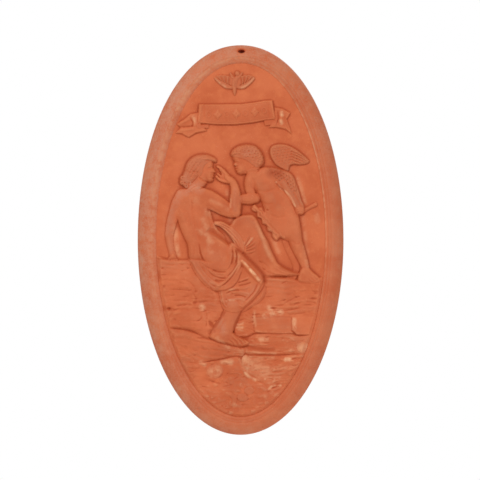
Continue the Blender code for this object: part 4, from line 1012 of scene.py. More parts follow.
def raised_arm():
    upper = Sprig("woman_upper_arm").tube([(-39, 40.6, 8.6), (-30, 37.6, 8.6), (-22, 33.6, 7.8),
        (-14, 28.8, 7.0), (-8, 26.2, 5.8), (-4.4, 25.6, 4.6)], 0.72, 2.4)
    upper.bump(-35, 40, 7, 7, 0.6).bump(-18, 32, 6, 3, 0.5, -0.5)
    upper.ridge([(-30, 31.4), (-23, 28), (-17, 24)], 2.0, -0.5)
    upper.lay(wash=0.22, moat=1.3, into=("woman_torso",))
    fore = Sprig("woman_forearm").tube([(-4.6, 24.8, 4.4), (-4.8, 30, 5.4), (-4.6, 36, 5.5),
        (-4.6, 42, 4.9), (-5.0, 47, 4.1), (-6.6, 52, 3.5), (-9.4, 55.4, 3.2)], 1.0, 2.4)
    fore.ridge([(-5, 27), (-5.4, 35), (-5, 44)], 2.4, 0.5)
    fore.lay(wash=0.34, moat=1.6, into=("woman_upper_arm",))
    hand = Sprig("woman_hand").pillow([(-5, 54), (-8, 58), (-12, 60.6), (-15.4, 60.4), (-15.6, 56.6),
        (-12, 52.6), (-8, 51.4)], 6.0, 2.6, 0.5)
    hand.tube([(-11.6, 58, 2.2), (-14.6, 62, 1.8), (-18.0, 65.6, 1.5), (-21, 67.4, 1.25)], 1.1, 2.2, 0.5)
    hand.tube([(-13.4, 56, 2.0), (-16, 58.6, 1.5), (-16.4, 61.8, 1.3), (-18.6, 64.6, 1.1)], 1.1, 1.8, 0.4)
    hand.tube([(-11.4, 54, 2.2), (-16, 54.4, 1.6), (-19.6, 56, 1.4), (-22.2, 58.4, 1.2)], 1.1, 2.0, 0.5)
    hand.tube([(-14.6, 56, 1.7), (-18.4, 58.6, 1.2), (-21.0, 61, 1.0)], 1.1, 1.4, 0.4)
    hand.ridges([[(-11, 60), (-8.6, 56), (-8, 52.4)]], 0.9, -0.4)
    hand.lay(wash=0.25, moat=1.2, into=("woman_forearm",))


# ---------------------------------------------------------------- colour worn and rubbed by hand, with painted highlights and painted shade

# Strokes of the brush: width, strength and the line each follows.  The rubbed strokes leave the clay pale,
# some as rubbing and some as painted highlight; the dusted ones pink grey; the smoked ones brown; the
# stained ones dark red.
RUBBED_AND_HIGHLIT = ((1.0, 1.4, [(1.6, -19), (5.4, -23), (10, -28.2)]),
    (1.25, 1.5, [(9, -27.4), (13, -31.8), (16.8, -36.6)]), (3.4, 0.3, [(-18, 8), (-12, 3), (-6, -2)]),
    (4.0, 0.35, [(-30, 26), (-24, 24)]), (2.4, 0.4, [(-10, 19), (-7, 17)]),
    (2.4, 0.4, [(-6, -14), (-3, -16)]), (2.6, 0.3, [(57, 20), (58.6, 4), (60.4, -12), (62.4, -24)]),
    (2.0, 0.3, [(27, 8), (31, -2), (35, -11)]), (2.6, 0.30, [(-35, 19), (-33.4, 14), (-31, 11)]),
    (3.4, 0.34, [(-38, 9), (-32, 4), (-28, -2), (-26.6, -9)]),
    (2.0, 0.22, [(-27, 36.4), (-20, 33), (-12, 28.4)]), (1.0, 0.4, [(-9.2, 30), (-9.2, 36), (-8.8, 41)]),
    (2.6, 0.45, [(-60.4, 12), (-60, 4), (-59, -6), (-57.6, -13)]),
    (2.0, 0.3, [(16, 12), (20, 3), (23, -6), (28.6, -18)]),
    (1.0, 0.75, [(32.8, 53), (36.6, 48), (41, 44.8), (44, 42), (47.4, 37), (50, 31)]),
    (2.6, 0.35, [(52, 57), (55, 47), (58, 35)]), (1.8, 0.9, [(38, 118.4), (38, 115.4)]),
    (1.8, 0.7, [(37, 109.4), (37.6, 107.6)]), (2.0, 0.5, [(-42.6, 113), (-42.4, 108)]),
    (2.2, 0.6, [(26, -62), (29, -65.4)]), (2.8, 0.8, [(22.6, -69.4), (28, -68), (33, -66.6), (37, -66.4)]),
    (2.2, 0.9, [(49.2, -73.6), (49.6, -78), (49.2, -81.4)]),
    (1.8, 0.5, [(12.6, -66), (12.2, -72), (13, -79)]), (1.3, 0.5, [(-3, -78), (2, -76.6)]),
    (1.3, 0.6, [(-3.4, -80.2), (1.6, -80.4)]), (1.1, 0.4, [(-2, -82.4), (2, -83.6)]),
    (3.0, 0.8, [(-35.4, -60), (-35.2, -62.4)]), (2.0, 0.6, [(18, -91.6), (24, -91)]),
    (4.4, 0.6, [(55.4, -99.4), (60.4, -97.6)]), (2.0, 0.95, [(41.6, -110), (45, -109.8)]),
    (4.4, 0.7, [(3.8, -109.6), (5.4, -117.6)]), (7.0, 0.4, [(8, -110), (14, -118), (20, -121)]),
    (1.4, 0.8, [(4, -122), (8, -126), (13.4, -128.8)]),
    (1.4, 0.9, [(26, -136.6), (30, -134.6), (36.6, -134)]), (5.6, 0.62, [(-25, -121), (-22, -120.6)]),
    (2.8, 0.6, [(-16, -112), (-9, -112.4)]), (2.4, 0.5, [(-36, -112.6), (-33, -114.4)]),
    (1.4, 0.8, [(-9.4, -158.8), (-8.8, -158.8)]), (2.4, 0.4, [(-6, -151.6), (-1, -151.8)]),
    (2.8, 0.3, [(70.4, 24), (70.8, 18)]), (2.0, 0.35, [(-12.6, 45), (-12, 42)]),
    (2.0, 0.4, [(-21, -89.6), (-16, -95), (-11, -98.6)]),
    (1.6, 0.4, [(8, -102.8), (20, -104.2), (32, -104.4)]), (1.2, 0.6, [(5, -5), (8, -1.6), (10.6, 1.4)]),
    (1.2, 0.6, [(3, -2.6), (3.6, -4.4)]), (2.2, 0.25, [(0, -18), (-4, -26), (-9, -33)]),
    (1.4, 0.4, [(-18, -48), (-17, -56)]), (1.3, 0.45, [(-10, -46), (-3, -45)]),
    (1.2, 0.4, [(-12, -55.6), (-5, -55)]), (4.6, 0.2, [(-42.4, 38), (-42, 36)]),
    (1.6, 0.45, [(-24, 14), (-22, 11)]), (1.4, 0.5, [(-24.6, 148.6), (-19, 144.4), (-14, 141)]),
    (1.3, 0.4, [(12, 148.4), (6.4, 143), (1, 140)]), (1.4, 0.5, [(46, 66.6), (44.4, 64)]),
    (1.2, 0.4, [(-4.6, 69.4), (-4.2, 68.4)]), (2.0, 0.3, [(20, -117), (40, -118), (54, -116)]),
    (1.8, 0.3, [(16, -109), (30, -108.4)]), (1.6, 0.3, [(28, -127), (36, -126.6)]))
DUSTED = ((6.0, 0.6, [(-56, 44), (-61, 34), (-65, 22), (-67, 8)]),
    (7.0, 0.8, [(-50, 46), (-44, 50), (-38, 48)]), (8.0, 0.25, [(-46, 71), (-36, 73)]),
    (5.0, 0.5, [(-51, 60), (-50, 54)]), (4.0, 0.3, [(-66, 6), (-64, -10)]), (6.0, 0.4, [(6, 80), (12, 82)]),
    (7.0, 0.35, [(-12, -56), (0, -54), (12, -46)]), (5.0, 0.3, [(-22, 15), (-12, 9), (-4, 0)]),
    (5.0, 0.5, [(-18, -76), (-16, -84)]), (9.0, 0.25, [(-44, -22), (-34, -34), (-26, -40)]),
    (10, 0.15, [(-72, -26), (-52, -28)]), (3.0, 0.3, [(-5, 46), (-6, 34), (-5, 28)]),
    (9.0, 0.15, [(-28, -12), (-20, -18)]))
# brown strokes: smoky wash, and painted shade under the waist roll, beside the thigh and in other creases
SMOKED_AND_SHADED = ((9.0, 1.0, [(28, 63), (34, 60), (42, 54), (48, 45), (53, 35)]),
    (9.0, 0.7, [(16, 52), (26, 44), (34, 30)]), (5.0, 0.8, [(0, 42), (0, 34)]),
    (8.0, 0.8, [(0, 19), (10, 17), (20, 2), (26, -12)]), (6.0, 0.8, [(12, 28), (20, 18), (30, 6)]),
    (9.0, 0.7, [(28, 82), (44, 82), (58, 75)]), (4.0, 0.8, [(-30, 8), (-20, 2), (-12, -1)]),
    (4.0, 0.8, [(15, -31), (19, -37)]), (6.0, 0.5, [(-36, 60), (-30, 54)]))
# dark red strokes: stains and dark lines, and painted shadow in creases, beside the shin and right of the
# foot
STAINED_AND_SHADED = ((6.5, 0.75, [(28, 62), (35, 61.4)]), (2.6, 0.6, [(-27, -78), (-24, -84)]),
    (3.0, 0.8, [(6, -98), (16, -100.4), (30, -101)]), (3.4, 0.6, [(-70, -62.6), (-64, -63.6)]),
    (3.0, 0.5, [(-76, -30), (-75, -36)]), (4.0, 0.4, [(-35, -100)]), (2.0, 0.5, [(52, -30.6), (48, -33)]),
    (3.0, 0.3, [(28, -33.2), (44, -33)]), (12.0, 0.26, [(0, 14), (8, 2), (18, -16)]),
    (9.0, 0.3, [(-14, -89), (0, -94)]), (12.0, 0.28, [(-50, -94), (-30, -102), (-12, -103)]),
    (15.0, 0.36, [(-26, -148), (0, -152), (24, -148)]), (7.0, 0.22, [(-18, -70), (-20, -84)]),
    (9.0, 0.2, [(-46, 72), (-34, 72)]), (5.0, 0.22, [(-52, 58), (-50, 52)]),
    (4.0, 0.25, [(-60, 32), (-65, 18), (-66, 2)]), (8.0, 0.14, [(-20, 148), (8, 146)]),
    (10.0, 0.14, [(16, 28), (28, 14), (36, 4)]), (3.0, 0.5, [(-26, 8), (-16, 1), (-10, -2.6)]),
    (8.0, 0.3, [(-50, -16), (-38, -22), (-24, -27)]), (9.0, 0.3, [(-46, -80), (-34, -88)]),
    (6.0, 0.3, [(-52, 66), (-49, 58)]), (9.0, 0.16, [(-26, 112), (26, 114)]),
    (10.0, 0.22, [(-52, -82), (-30, -90)]), (3.0, 0.3, [(8, -89.6), (16, -93)]),
    (3.0, 0.3, [(-5, 28), (-5, 44)]), (4.0, 0.22, [(-36, 42), (-22, 36), (-10, 30)]),
    (4.0, 0.3, [(4, -3), (10, -9)]), (5.0, 0.2, [(4, 84), (16, 82)]), (7.0, 0.2, [(-44, 66), (-40, 56)]),
    (6.0, 0.35, [(48, -96), (54, -94)]), (3.2, 1.2, [(-2, -9), (2.6, -12.6), (6.4, -16.4), (11.4, -21.4),
    (17, -27.2), (20.6, -32), (22.4, -38)]), (1.2, 0.8, [(-8, -1.4), (-4, -4.6), (0, -8)]),
    (1.6, 0.6, [(-76, -31), (-74.6, -33)]), (1.4, 0.6, [(-71, -43.4), (-70, -42.4)]),
    (1.6, 0.6, [(-72, -62), (-69, -64)]), (1.3, 0.5, [(-62.6, -88), (-61, -90)]),
    (0.9, 0.5, [(14, -71), (30, -70.8), (46.4, -70.8)]), (8.0, 0.16, [(20, -78), (40, -78)]),
    (1.1, 0.6, [(-76, -17.2), (-66, -17.6), (-58, -16.8), (-52, -18.2), (-46, -18)]),
    (1.0, 0.5, [(46.8, -72), (47.2, -83), (51, -87)]), (1.2, 0.5, [(-51, -97), (-49.6, -98.4)]),
    (1.2, 0.5, [(-36, -97), (-34, -99)]), (1.8, 0.8, [(-14.6, -66.4), (-18.8, -72.4), (-23.4, -79.6),
    (-29, -86)]), (1.5, 0.75, [(0.6, -67), (-3.2, -73), (-5.6, -79), (-5.4, -85), (-1, -89.6)]),
    (2.4, 0.55, [(-29.4, -84), (-24, -80)]), (2.6, 0.5, [(8.4, -93), (12, -97), (20, -99.6)]),
    (1.1, 0.8, [(22.4, -38), (20.6, -44), (15.6, -50.6), (9, -57.6), (1, -65)]),
    (1.2, 0.4, [(18, 14), (21.6, 6), (25.6, -1), (28.8, -9), (32.4, -17), (35.4, -22)]),
    (3.4, 0.7, [(38, -25), (44, -27.6), (52, -30.4)]), (1.0, 0.8, [(-28, -43.6), (-24, -46.8), (-14, -46)]),
    (1.0, 0.8, [(-14, -46), (-7.6, -43), (-2.6, -37.6), (0.6, -30)]), (1.2, 0.6, [(4, 23), (11, 23.6)]))


def worn_colour():
    """Rub, dust and stain the clay along the listed strokes, painting highlights and shade with some of
    them.
    """
    for width, amount, path in RUBBED_AND_HIGHLIT:
        paint(PALE, path, 1.3 * width, 0.75 * amount)
    for layer, strokes in ((DUST, DUSTED), (WASH_AND_SHADE, SMOKED_AND_SHADED), (STAIN_AND_SHADE, STAINED_AND_SHADED)):
        for width, amount, path in strokes:
            paint(layer, path, width, amount)


def lay_relief():
    """Model the ground and every sprig on it, from the back to the front."""
    HEIGHT[:] = 0.10 * cloud(26, 91) + 0.05 * cloud(7, 93)
    HEIGHT[:] += 0.9 * np.exp(-((X + 66) / 26) ** 2) * 0.3
    for lay_part in (front_bank, leaf_and_shells, rippled_water, right_ledge, boulders, left_ledge,
            right_bank, blocks, rock_seat, weather, emblem, banner, cupid_far_leg, wings, cupid_near_leg,
            cupid_torso, cupid_sash, cupid_head, cupid_arm, far_leg_drape, hem_fold, shin_and_foot,
            calf_drape, hip_drape, thigh_drape, waist_roll, woman_torso, propped_arm, woman_head,
            woman_hair, raised_arm, worn_colour):
        lay_part()


# ---------------------------------------------------------------- the oval

def oval_path(steps):
    """Points and inward normals round the outer edge, from the right, anticlockwise."""
    a, b = HALF_W, HALF_H
    upright, top, bottom = b * OVAL_HANDLE, a * OVAL_TOP_HANDLE, a * OVAL_HANDLE
    knots = (((a, 0), (0, upright)), ((0, b), (-top, 0)), ((-a, 0), (0, -upright)), ((0, -b), (bottom, 0)))
    t = np.arange(steps)[:, None] / steps
    points = []
    for (start, leave), (end, arrive) in zip(knots, knots[1:] + knots[:1]):
        leaving = np.add(start, leave)
        arriving = np.subtract(end, arrive)
        points.append((1 - t) ** 3 * np.array(start) + 3 * t * (1 - t) ** 2 * leaving + 3 * t * t * (1 - t)
            * arriving + t ** 3 * np.array(end))
    points = np.concatenate(points)
    run = np.roll(points, -1, axis=0) - np.roll(points, 1, axis=0)
    inward = np.stack([-run[:, 1], run[:, 0]], axis=1)
    return points, inward / np.linalg.norm(inward, axis=1)[:, None]


def inset_of_grid():
    """How far each grid point lies inside the outer edge."""
    outer, _ = oval_path(40)
    gap, _, _ = distance(outer, X, Z, True)
    return np.where(inside(outer, X, Z), gap, -gap)


BORDER = np.array([  # inset from the outer edge, height above the wall
    (0.0, 3.4), (0.15, 4.8), (0.8, 6.4), (2.2, 8.4), (4.4, 10.6), (7.0, 12.4), (9.2, 13.6), (10.8, 14.0),
    (11.3, 13.9), (11.7, 13.65), (12.3, 13.75), (13.1, 13.75), (13.9, 13.5), (14.5, 13.1), (15.1, 13.15),
    (15.8, 13.05), (16.5, 12.6), (17.1, 12.1), (17.8, 11.6)])


def border_height(inset):
    """Height above the wall of the rim and its beads."""
    return np.interp(inset, BORDER[:, 0], BORDER[:, 1])


INSET = inset_of_grid()
lay_relief()

HEIGHT = HEIGHT * RELIEF

# the relief sinks towards the beads, so that the rocks run out under them
edge_room = np.where(INSET > FACE_INSET, 0.15 + 0.6 * np.clip(INSET - FACE_INSET, 0, None), -0.4)
HEIGHT = np.minimum(HEIGHT, smooth_max(edge_room, 0.3 * HEIGHT, 0.5) * (INSET > FACE_INSET) + edge_room
    * (INSET <= FACE_INSET))
HEIGHT += 0.05 * cloud(1.6, 95, 1.0, 2)
HEIGHT = np.clip(0.7 * HEIGHT + 0.3 * blur(HEIGHT, 0.5), -1.1, 9.2).astype(np.float32)
# how far the relief lies below its blurred self at three sizes: painted as slip and painted shade in the
# hollows and, where negative, as a painted highlight on the high parts
HOLLOW = (0.38 * np.clip((blur(HEIGHT, 0.9) - HEIGHT) / 0.26, -1, 1)
    + 0.32 * np.clip((blur(HEIGHT, 2.6) - HEIGHT) / 0.9, -1, 1)
    + 0.26 * np.clip((blur(HEIGHT, 6.0) - HEIGHT) / 1.4, -1, 1))
SLOPE_Z, SLOPE_X = np.gradient(HEIGHT, CELL)
LAYERS = {"hollow": HOLLOW, "wash": WASH_AND_SHADE, "dust": DUST, "pale": PALE, "stain_and_shade": STAIN_AND_SHADE}


# ---------------------------------------------------------------- meshes

def clay_mesh(name, verts, faces, layers, normals=None, sharp=None):
    """A mesh from points in millimetres (x, height above the wall, z) with its colour layers."""
    verts = np.asarray(verts, float)
    placed = np.stack([verts[:, 0], -verts[:, 1], verts[:, 2]], axis=1) * MM
    mesh = bpy.data.meshes.new(name)
    mesh.from_pydata(placed.tolist(), [], np.asarray(faces).tolist())
    for key, values in layers.items():
        attribute = mesh.attributes.new(key, "FLOAT", "POINT")
        attribute.data.foreach_set("value", np.asarray(values, np.float32))
    mesh.polygons.foreach_set("use_smooth", [True] * len(mesh.polygons))
    if sharp is not None:
        mesh.set_sharp_from_angle(angle=sharp)
    if normals is not None:
        mesh.normals_split_custom_set_from_vertices(normals.tolist())
    piece = bpy.data.objects.new(name, mesh)
    bpy.context.scene.collection.objects.link(piece)
    return piece


def relief_normals(rows, cols):
    """Normals read from the whole relief, so that neighbouring pieces shade as one surface."""
    n = np.stack([-SLOPE_X[rows, cols], -np.ones(len(rows)), -SLOPE_Z[rows, cols]], axis=1)
    return n / np.linalg.norm(n, axis=1)[:, None]


def relief_mesh(name, cells):
    """The modelled surface of the marked cells, with a wall down into the slab round its edge."""
    rows, cols = np.nonzero(cells)
    width = X.shape[1]
    start = rows * width + cols
    quads = np.stack([start, start + 1, start + width + 1, start + width], axis=1)
    used, quads_packed = np.unique(quads, return_inverse=True)
    quads = quads_packed.reshape(quads.shape)
    vr, vc = used // width, used % width
    tops = np.stack([GRID_X[vc], FACE + HEIGHT[vr, vc], GRID_Z[vr]], axis=1)
    padded = np.pad(cells, 1)
    beyond = (padded[:-2, 1:-1], padded[1:-1, 2:], padded[2:, 1:-1], padded[1:-1, :-2])
    edges = []
    for corner, neighbour in enumerate(beyond):
        bare = ~neighbour[rows, cols]
        edges.append(np.stack([quads[bare, corner], quads[bare, (corner + 1) % 4]], axis=1))
    edges = np.concatenate(edges)
    rim, rim_packed = np.unique(edges, return_inverse=True)
    rim_packed = rim_packed.reshape(edges.shape) + len(tops)
    foot = tops[rim] * (1, 0, 1) + (0, FACE + FOOT, 0)
    walls = np.stack([rim_packed[:, 1], rim_packed[:, 0], rim_packed[:, 0] + len(rim), rim_packed[:, 1]
        + len(rim)], axis=1)
    pick = np.concatenate([np.arange(len(tops)), rim, rim])
    layers = {key: layer[vr, vc][pick] for key, layer in LAYERS.items()}
    return clay_mesh(name, np.concatenate([tops, tops[rim], foot]), np.concatenate([quads, walls]), layers,
        relief_normals(vr, vc)[pick])


def cell_owners():
    """Which sprig each grid cell belongs to: 0 is the slab, -1 lies under the rim."""
    a, b, c, d = OWNER[:-1, :-1], OWNER[:-1, 1:], OWNER[1:, :-1], OWNER[1:, 1:]
    owner = np.maximum(np.minimum(a, d), np.minimum(b, c))
    shown = (INSET[:-1, :-1] > FACE_INSET - 1.3) & (INSET[1:, 1:] > FACE_INSET - 1.3)
    return np.where(shown, owner, -1)


def back_dent(x, z):
    """How far the flat back is dented by the fingers that smoothed it."""
    streaks = cloud(30, 201, 3.0, 3, x, z)
    dabs = cloud(9, 205, 1.0, 2, x, z)
    return 0.10 + 0.28 * np.clip(streaks, 0, 1) + 0.12 * np.clip(dabs, 0, 1)


def swell(x, z):
    """The unevenness of a rim drawn by hand."""
    return 0.22 * cloud(34, 211, 1.0, 3, x, z) + 0.05 * cloud(3.0, 215, 1.0, 2, x, z)


def rim_pink_grey(x, z):
    """Pink grey over the rim, thickest at the upper left and thin at the foot."""
    lift = 0.35 * z / HALF_H - 0.72 * x / HALF_W
    return np.clip(0.56 + 0.5 * lift + 0.22 * cloud(24, 221, 1.0, 3, x, z), 0, 1)


BARE_BACK = {"wash": 0.1, "dust": 0.2}       # colour layers of the flat back
PITS = ((-39, -155.5, 1.1), (53, -143, 1.0), (42, -157.5, 0.9), (-61, -139, 0.7), (84, -60, 0.8),
    (-86, 38, 0.7), (20, -172, 0.8), (-77, 92, 0.6), (70, 112, 0.7), (88, 20, 0.6), (-30, 168, 0.6),
    (-88, -34, 0.7))


def hole_gap(x, z):
    """Distance from the hanging hole's edge, in half openings."""
    (hx, hz), (wide, tall) = HOLE_AT, HOLE_SIZE
    return np.clip(np.hypot((x - hx) / wide, (z - hz) / tall) * 2 - 1, 0, None)


def crispness(x, z):
    """How sharp the beads still are: least worn at the lower right."""
    return np.clip(0.70 + 0.45 * x / HALF_W - 0.30 * z / HALF_H, 0.25, 1)


def ring_height(x, z, inset, drawn):
    """The rim's modelled height: beads worn soft, an uneven surface, pits and a pressed-in hole."""
    eased = np.mean([border_height(inset + shift) for shift in (-2, -1.3, -0.6, 0, 0.6, 1.3, 2)], axis=0)
    beads = (inset > BEADS_FROM - 0.8) & (inset < BEADS_TO - 0.1)
    height = np.where(beads, eased + (drawn - eased) * crispness(x, z), drawn)
    height += swell(x, z) * np.clip(height / 6, 0, 1)
    for px, pz, size in PITS:
        height -= 0.9 * size * np.clip(1.3 - np.hypot(x - px, z - pz) / size, 0, 1)
    return height - 0.9 * np.exp(-3.2 * hole_gap(x, z))


def ring_layers(x, z, inset, at_back):
    """The colour layers of the rim and its beads, with painted shade and painted highlights on them."""
    dip = 0.5 * (border_height(inset - 0.9) + border_height(inset + 0.9)) - border_height(inset)
    # painted shade in the grooves between the beads, stronger where the beads are crisp
    groove = 0.5 * crispness(x, z) * np.clip(dip / 0.35, -0.5, 1) * (inset > 10)
    upper_left = np.clip(0.7 * z / HALF_H - 0.7 * x / HALF_W, 0, 1)
    # painted shade on the beads at the top and the foot, fading towards the upper left
    ends = np.clip(1.3 * np.abs(z) / HALF_H - 0.25, 0, 1) * np.clip(1.2 - 1.6 * upper_left, 0, 1)
    # painted highlights: a pale stripe on the beads at the upper left, and a thin pale line on the inner
    # edge at the right
    highlight_stripe = np.exp(-((inset - 13.0) / 2.5) ** 2) * upper_left
    highlight_line = np.exp(-((inset - 16.4) / 0.5) ** 2) * np.clip(x / HALF_W + 0.5 * z / HALF_H - 0.5, 0, 0.6)
    in_beads = np.exp(-((inset - 13.6) / 3.2) ** 2)
    gap = hole_gap(x, z)
    # painted shade round the hanging hole, in the hollow layer and in the dark red
    front = {"hollow": groove + 0.8 * np.exp(-5 * gap), "dust": rim_pink_grey(x, z) * np.interp(inset,
        # the wash here is heavier at the right of the rim and much heavier at its top
        (1, 6, 9, 13), (1.35, 1.2, 0.95, 0.7)), "wash": 0.10 + 0.22 * np.clip(x / HALF_W, 0, 1)
        * (inset < 14) + 0.9 * np.clip(0.8 * z / HALF_H - 0.1 * x / HALF_W - 0.2, 0, 1),
        "pale": 0.22 * highlight_stripe + highlight_line, "stain_and_shade": 0.25 * np.exp(-3 * gap) + (0.04 + 0.26 * ends)
        * in_beads}
    return {key: np.where(at_back, BARE_BACK.get(key, 0), layer) for key, layer in front.items()}


def ring_mesh(name, section):
    """A closed band swept round the oval; section lists inset and height, wall side first."""
    outer, inward = oval_path(RING_STEPS)
    count, loops = len(outer), len(section)
    inset = np.repeat(section[None, :, 0], count, axis=0)
    drawn = np.repeat(section[None, :, 1], count, axis=0)
    x = outer[:, None, 0] + inward[:, None, 0] * inset
    z = outer[:, None, 1] + inward[:, None, 1] * inset
    at_back = drawn < 0.01
    height = np.where(at_back, back_dent(x, z), ring_height(x, z, inset, drawn))
    i = np.repeat(np.arange(count), loops)
    j = np.tile(np.arange(loops), count)
    i2, j2 = (i + 1) % count, (j + 1) % loops
    faces = np.stack([i * loops + j, i * loops + j2, i2 * loops + j2, i2 * loops + j], axis=1)
    points = np.stack([x.ravel(), height.ravel(), z.ravel()], axis=1)
    layers = {key: layer.ravel() for key, layer in ring_layers(x, z, inset, at_back).items()}
    return clay_mesh(name, points, faces, layers, sharp=math.radians(55))


def border_section(start, end):
    """The part of the border between two insets as a closed section standing on the wall."""
    front = [inset for inset in BORDER[:, 0] if start < inset < end]
    front = sorted(set(np.round(np.concatenate([np.arange(start, end, RING_PITCH), front, [end]]), 2)))
    top = [(inset, float(border_height(inset))) for inset in front]
    back = [(inset, 0.0) for inset in np.linspace(end, max(start, BACK_EDGE),
        max(2, int((end - start) / 1.2)))]
    outer = [(0.55, 0.5), (0.15, 1.4), (0.0, 2.4)] if start == 0 else []
    return np.array(top + back + outer)


def hole_at(height):
    """The hanging hole at a height above the wall: its centre's z, its width and how tall it is."""
    depth = 1 - height / HOLE_DEPTH
    share = 1 - (1 - HOLE_NARROWS) * depth
    return HOLE_AT[1] - HOLE_DROP * depth, HOLE_SIZE[0] * share, HOLE_SIZE[1] * share


def drill(piece):
    """Cut the hanging hole, narrower and a little lower at its far end."""
    points, faces = [], []
    for height in (-HOLE_SPARE, HOLE_DEPTH + HOLE_SPARE):
        middle, wide, tall = hole_at(height)
        for k in range(HOLE_SIDES):
            turn = 2 * math.pi * k / HOLE_SIDES
            points.append((HOLE_AT[0] + wide / 2 * math.cos(turn), height,
                middle + tall / 2 * math.sin(turn)))
    for k in range(HOLE_SIDES):
        n = (k + 1) % HOLE_SIDES
        faces.append((k, n, n + HOLE_SIDES, k + HOLE_SIDES))
    mesh = bpy.data.meshes.new("drill")
    placed = [(x * MM, -h * MM, z * MM) for x, h, z in points]
    mesh.from_pydata(placed, [], faces + [tuple(reversed(range(HOLE_SIDES))),
        tuple(range(HOLE_SIDES, 2 * HOLE_SIDES))])
    shaper = bmesh.new()
    shaper.from_mesh(mesh)
    bmesh.ops.recalc_face_normals(shaper, faces=shaper.faces)
    shaper.to_mesh(mesh)
    shaper.free()
    cutter = bpy.data.objects.new("drill", mesh)
    bpy.context.scene.collection.objects.link(cutter)
    cut = piece.modifiers.new("hole", "BOOLEAN")
    cut.operation = "DIFFERENCE"
    cut.solver = "EXACT"
    cut.object = cutter
    bpy.context.view_layer.update()
    shaped = bpy.data.meshes.new_from_object(piece.evaluated_get(bpy.context.evaluated_depsgraph_get()))
    piece.modifiers.clear()
    piece.data = shaped
    bpy.data.objects.remove(cutter)
    # the inside of the hanging hole is painted fully dark red: painted shade
    stain_and_shade = shaped.attributes["stain_and_shade"].data
    for vertex, shade in zip(shaped.vertices, stain_and_shade):
        middle, wide, tall = hole_at(-vertex.co.y / MM)
        if math.hypot((vertex.co.x / MM - HOLE_AT[0]) / wide, (vertex.co.z / MM - middle) / tall) < 0.51:
            shade.value = 1.0
    shaped.set_sharp_from_angle(angle=math.radians(50))


def back_points():
    """The flat back of the slab, rings of points drawn in towards the centre."""
    outer, inward = oval_path(RING_STEPS)
    edge = outer + inward * BEADS_TO
    shares = np.concatenate([np.linspace(1, 0.02, BACK_RINGS), [0.0]])
    x = edge[None, :, 0] * shares[:, None]
    z = edge[None, :, 1] * shares[:, None]
    count = len(edge)
    points = np.stack([x.ravel(), back_dent(x, z).ravel(), z.ravel()], axis=1)
    faces = []
    for ring in range(len(shares) - 1):
        for k in range(count):
            n = (k + 1) % count
            faces.append((ring * count + k, ring * count + n, (ring + 1) * count + n, (ring + 1) * count
                + k))
    return points, np.array(faces)


def slab_mesh(cells):
    """The slab: its bare face between the sprigs, its flat back, and the wall that joins them."""
    face = relief_mesh("clay_slab", cells)
    points, faces = back_points()
    layers = {key: np.full(len(points), BARE_BACK.get(key, 0)) for key in LAYERS}
    back = clay_mesh("slab_back", points, faces, layers)
    return face, back


# ---------------------------------------------------------------- clay

BURNT = (0.53, 0.105, 0.030, 1)
WARM = (0.67, 0.180, 0.062, 1)
SMOKE = (0.425, 0.120, 0.053, 1)
ROSE = (0.56, 0.240, 0.148, 1)
# painted highlight on the high parts of the relief
PAINTED_HIGHLIGHT = (0.73, 0.228, 0.086, 1)
CREAM = (0.92, 0.57, 0.32, 1)
# dark red brown of stains and tool lines, and of slip and painted shade in the hollows
DARK = (0.37, 0.048, 0.006, 1)
# each clay's own orange, and how strongly the wash, the painted highlight on the high parts, and the slip,
# stains and painted shade show on it
TONES = {"fired_clay": {"body": (0.61, 0.142, 0.048, 1), "wash": 0.75, "light": 0.30, "slip": 0.9},
    "dusty_clay": {"body": (0.58, 0.148, 0.054, 1), "wash": 0.75, "light": 0.30, "slip": 0.8},
    "grey_clay": {"body": (0.57, 0.138, 0.050, 1), "wash": 0.85, "light": 0.25, "slip": 0.95},
    "pale_clay": {"body": (0.62, 0.160, 0.060, 1), "wash": 0.65, "light": 0.45, "slip": 0.85},
    "dark_clay": {"body": (0.54, 0.115, 0.040, 1), "wash": 0.75, "light": 0.25, "slip": 1.0}}
ROSE_COVER = 0.8                             # how fully dust hides the clay
CREAM_COVER = 0.8                            # how fully a rubbed patch and a painted highlight do
SLIP_AND_SHADE_COVER = 0.85                            # how dark slip and painted shade in a hollow are beside painted stains
SPECKS = 0.16                                # strength of the pale grit
PIT_PITCH = 2.6                              # spacing of the pinholes
BUMP_STRENGTH = 0.32
BUMP_DEPTH = 0.5


class Nodes:
    """Short names for the shader nodes that a material is mixed from."""

    def __init__(self, tree):
        self.tree = tree

    def add(self, kind, inputs, **settings):
        """A node with its settings and its inputs, each a value or another node's output."""
        node = self.tree.nodes.new(kind)
        for key, value in settings.items():
            setattr(node, key, value)
        for key, value in inputs.items():
            if isinstance(value, bpy.types.NodeSocket):
                self.tree.links.new(value, node.inputs[key])
            else:
                node.inputs[key].default_value = value
        return node

    def maths(self, operation, a, b):
        return self.add("ShaderNodeMath", {0: a, 1: b}, operation=operation).outputs[0]

    def times(self, a, b):
        return self.maths("MULTIPLY", a, b)

    def plus(self, a, b):
        return self.maths("ADD", a, b)

    def layer(self, key):
        return self.add("ShaderNodeAttribute", {}, attribute_name=key).outputs["Fac"]

    def place(self):
        return self.add("ShaderNodeTexCoord", {}).outputs["Object"]

    def noise(self, size, detail, rough):
        """Noise whose features are about size millimetres across."""
        inputs = {"Vector": self.place(), "Scale": 1 / (size * MM), "Detail": detail, "Roughness": rough}
        return self.add("ShaderNodeTexNoise", inputs).outputs["Fac"]

    def ease(self, value, low, high):
        """0 below low, 1 above high, smooth between."""
        inputs = {"Value": value, "From Min": low, "From Max": high}
        return self.add("ShaderNodeMapRange", inputs, interpolation_type="SMOOTHSTEP").outputs["Result"]

    def mix(self, amount, under, over):
        inputs = {0: amount, 6: under, 7: over}
        return self.add("ShaderNodeMix", inputs, data_type="RGBA", blend_type="MIX").outputs[2]


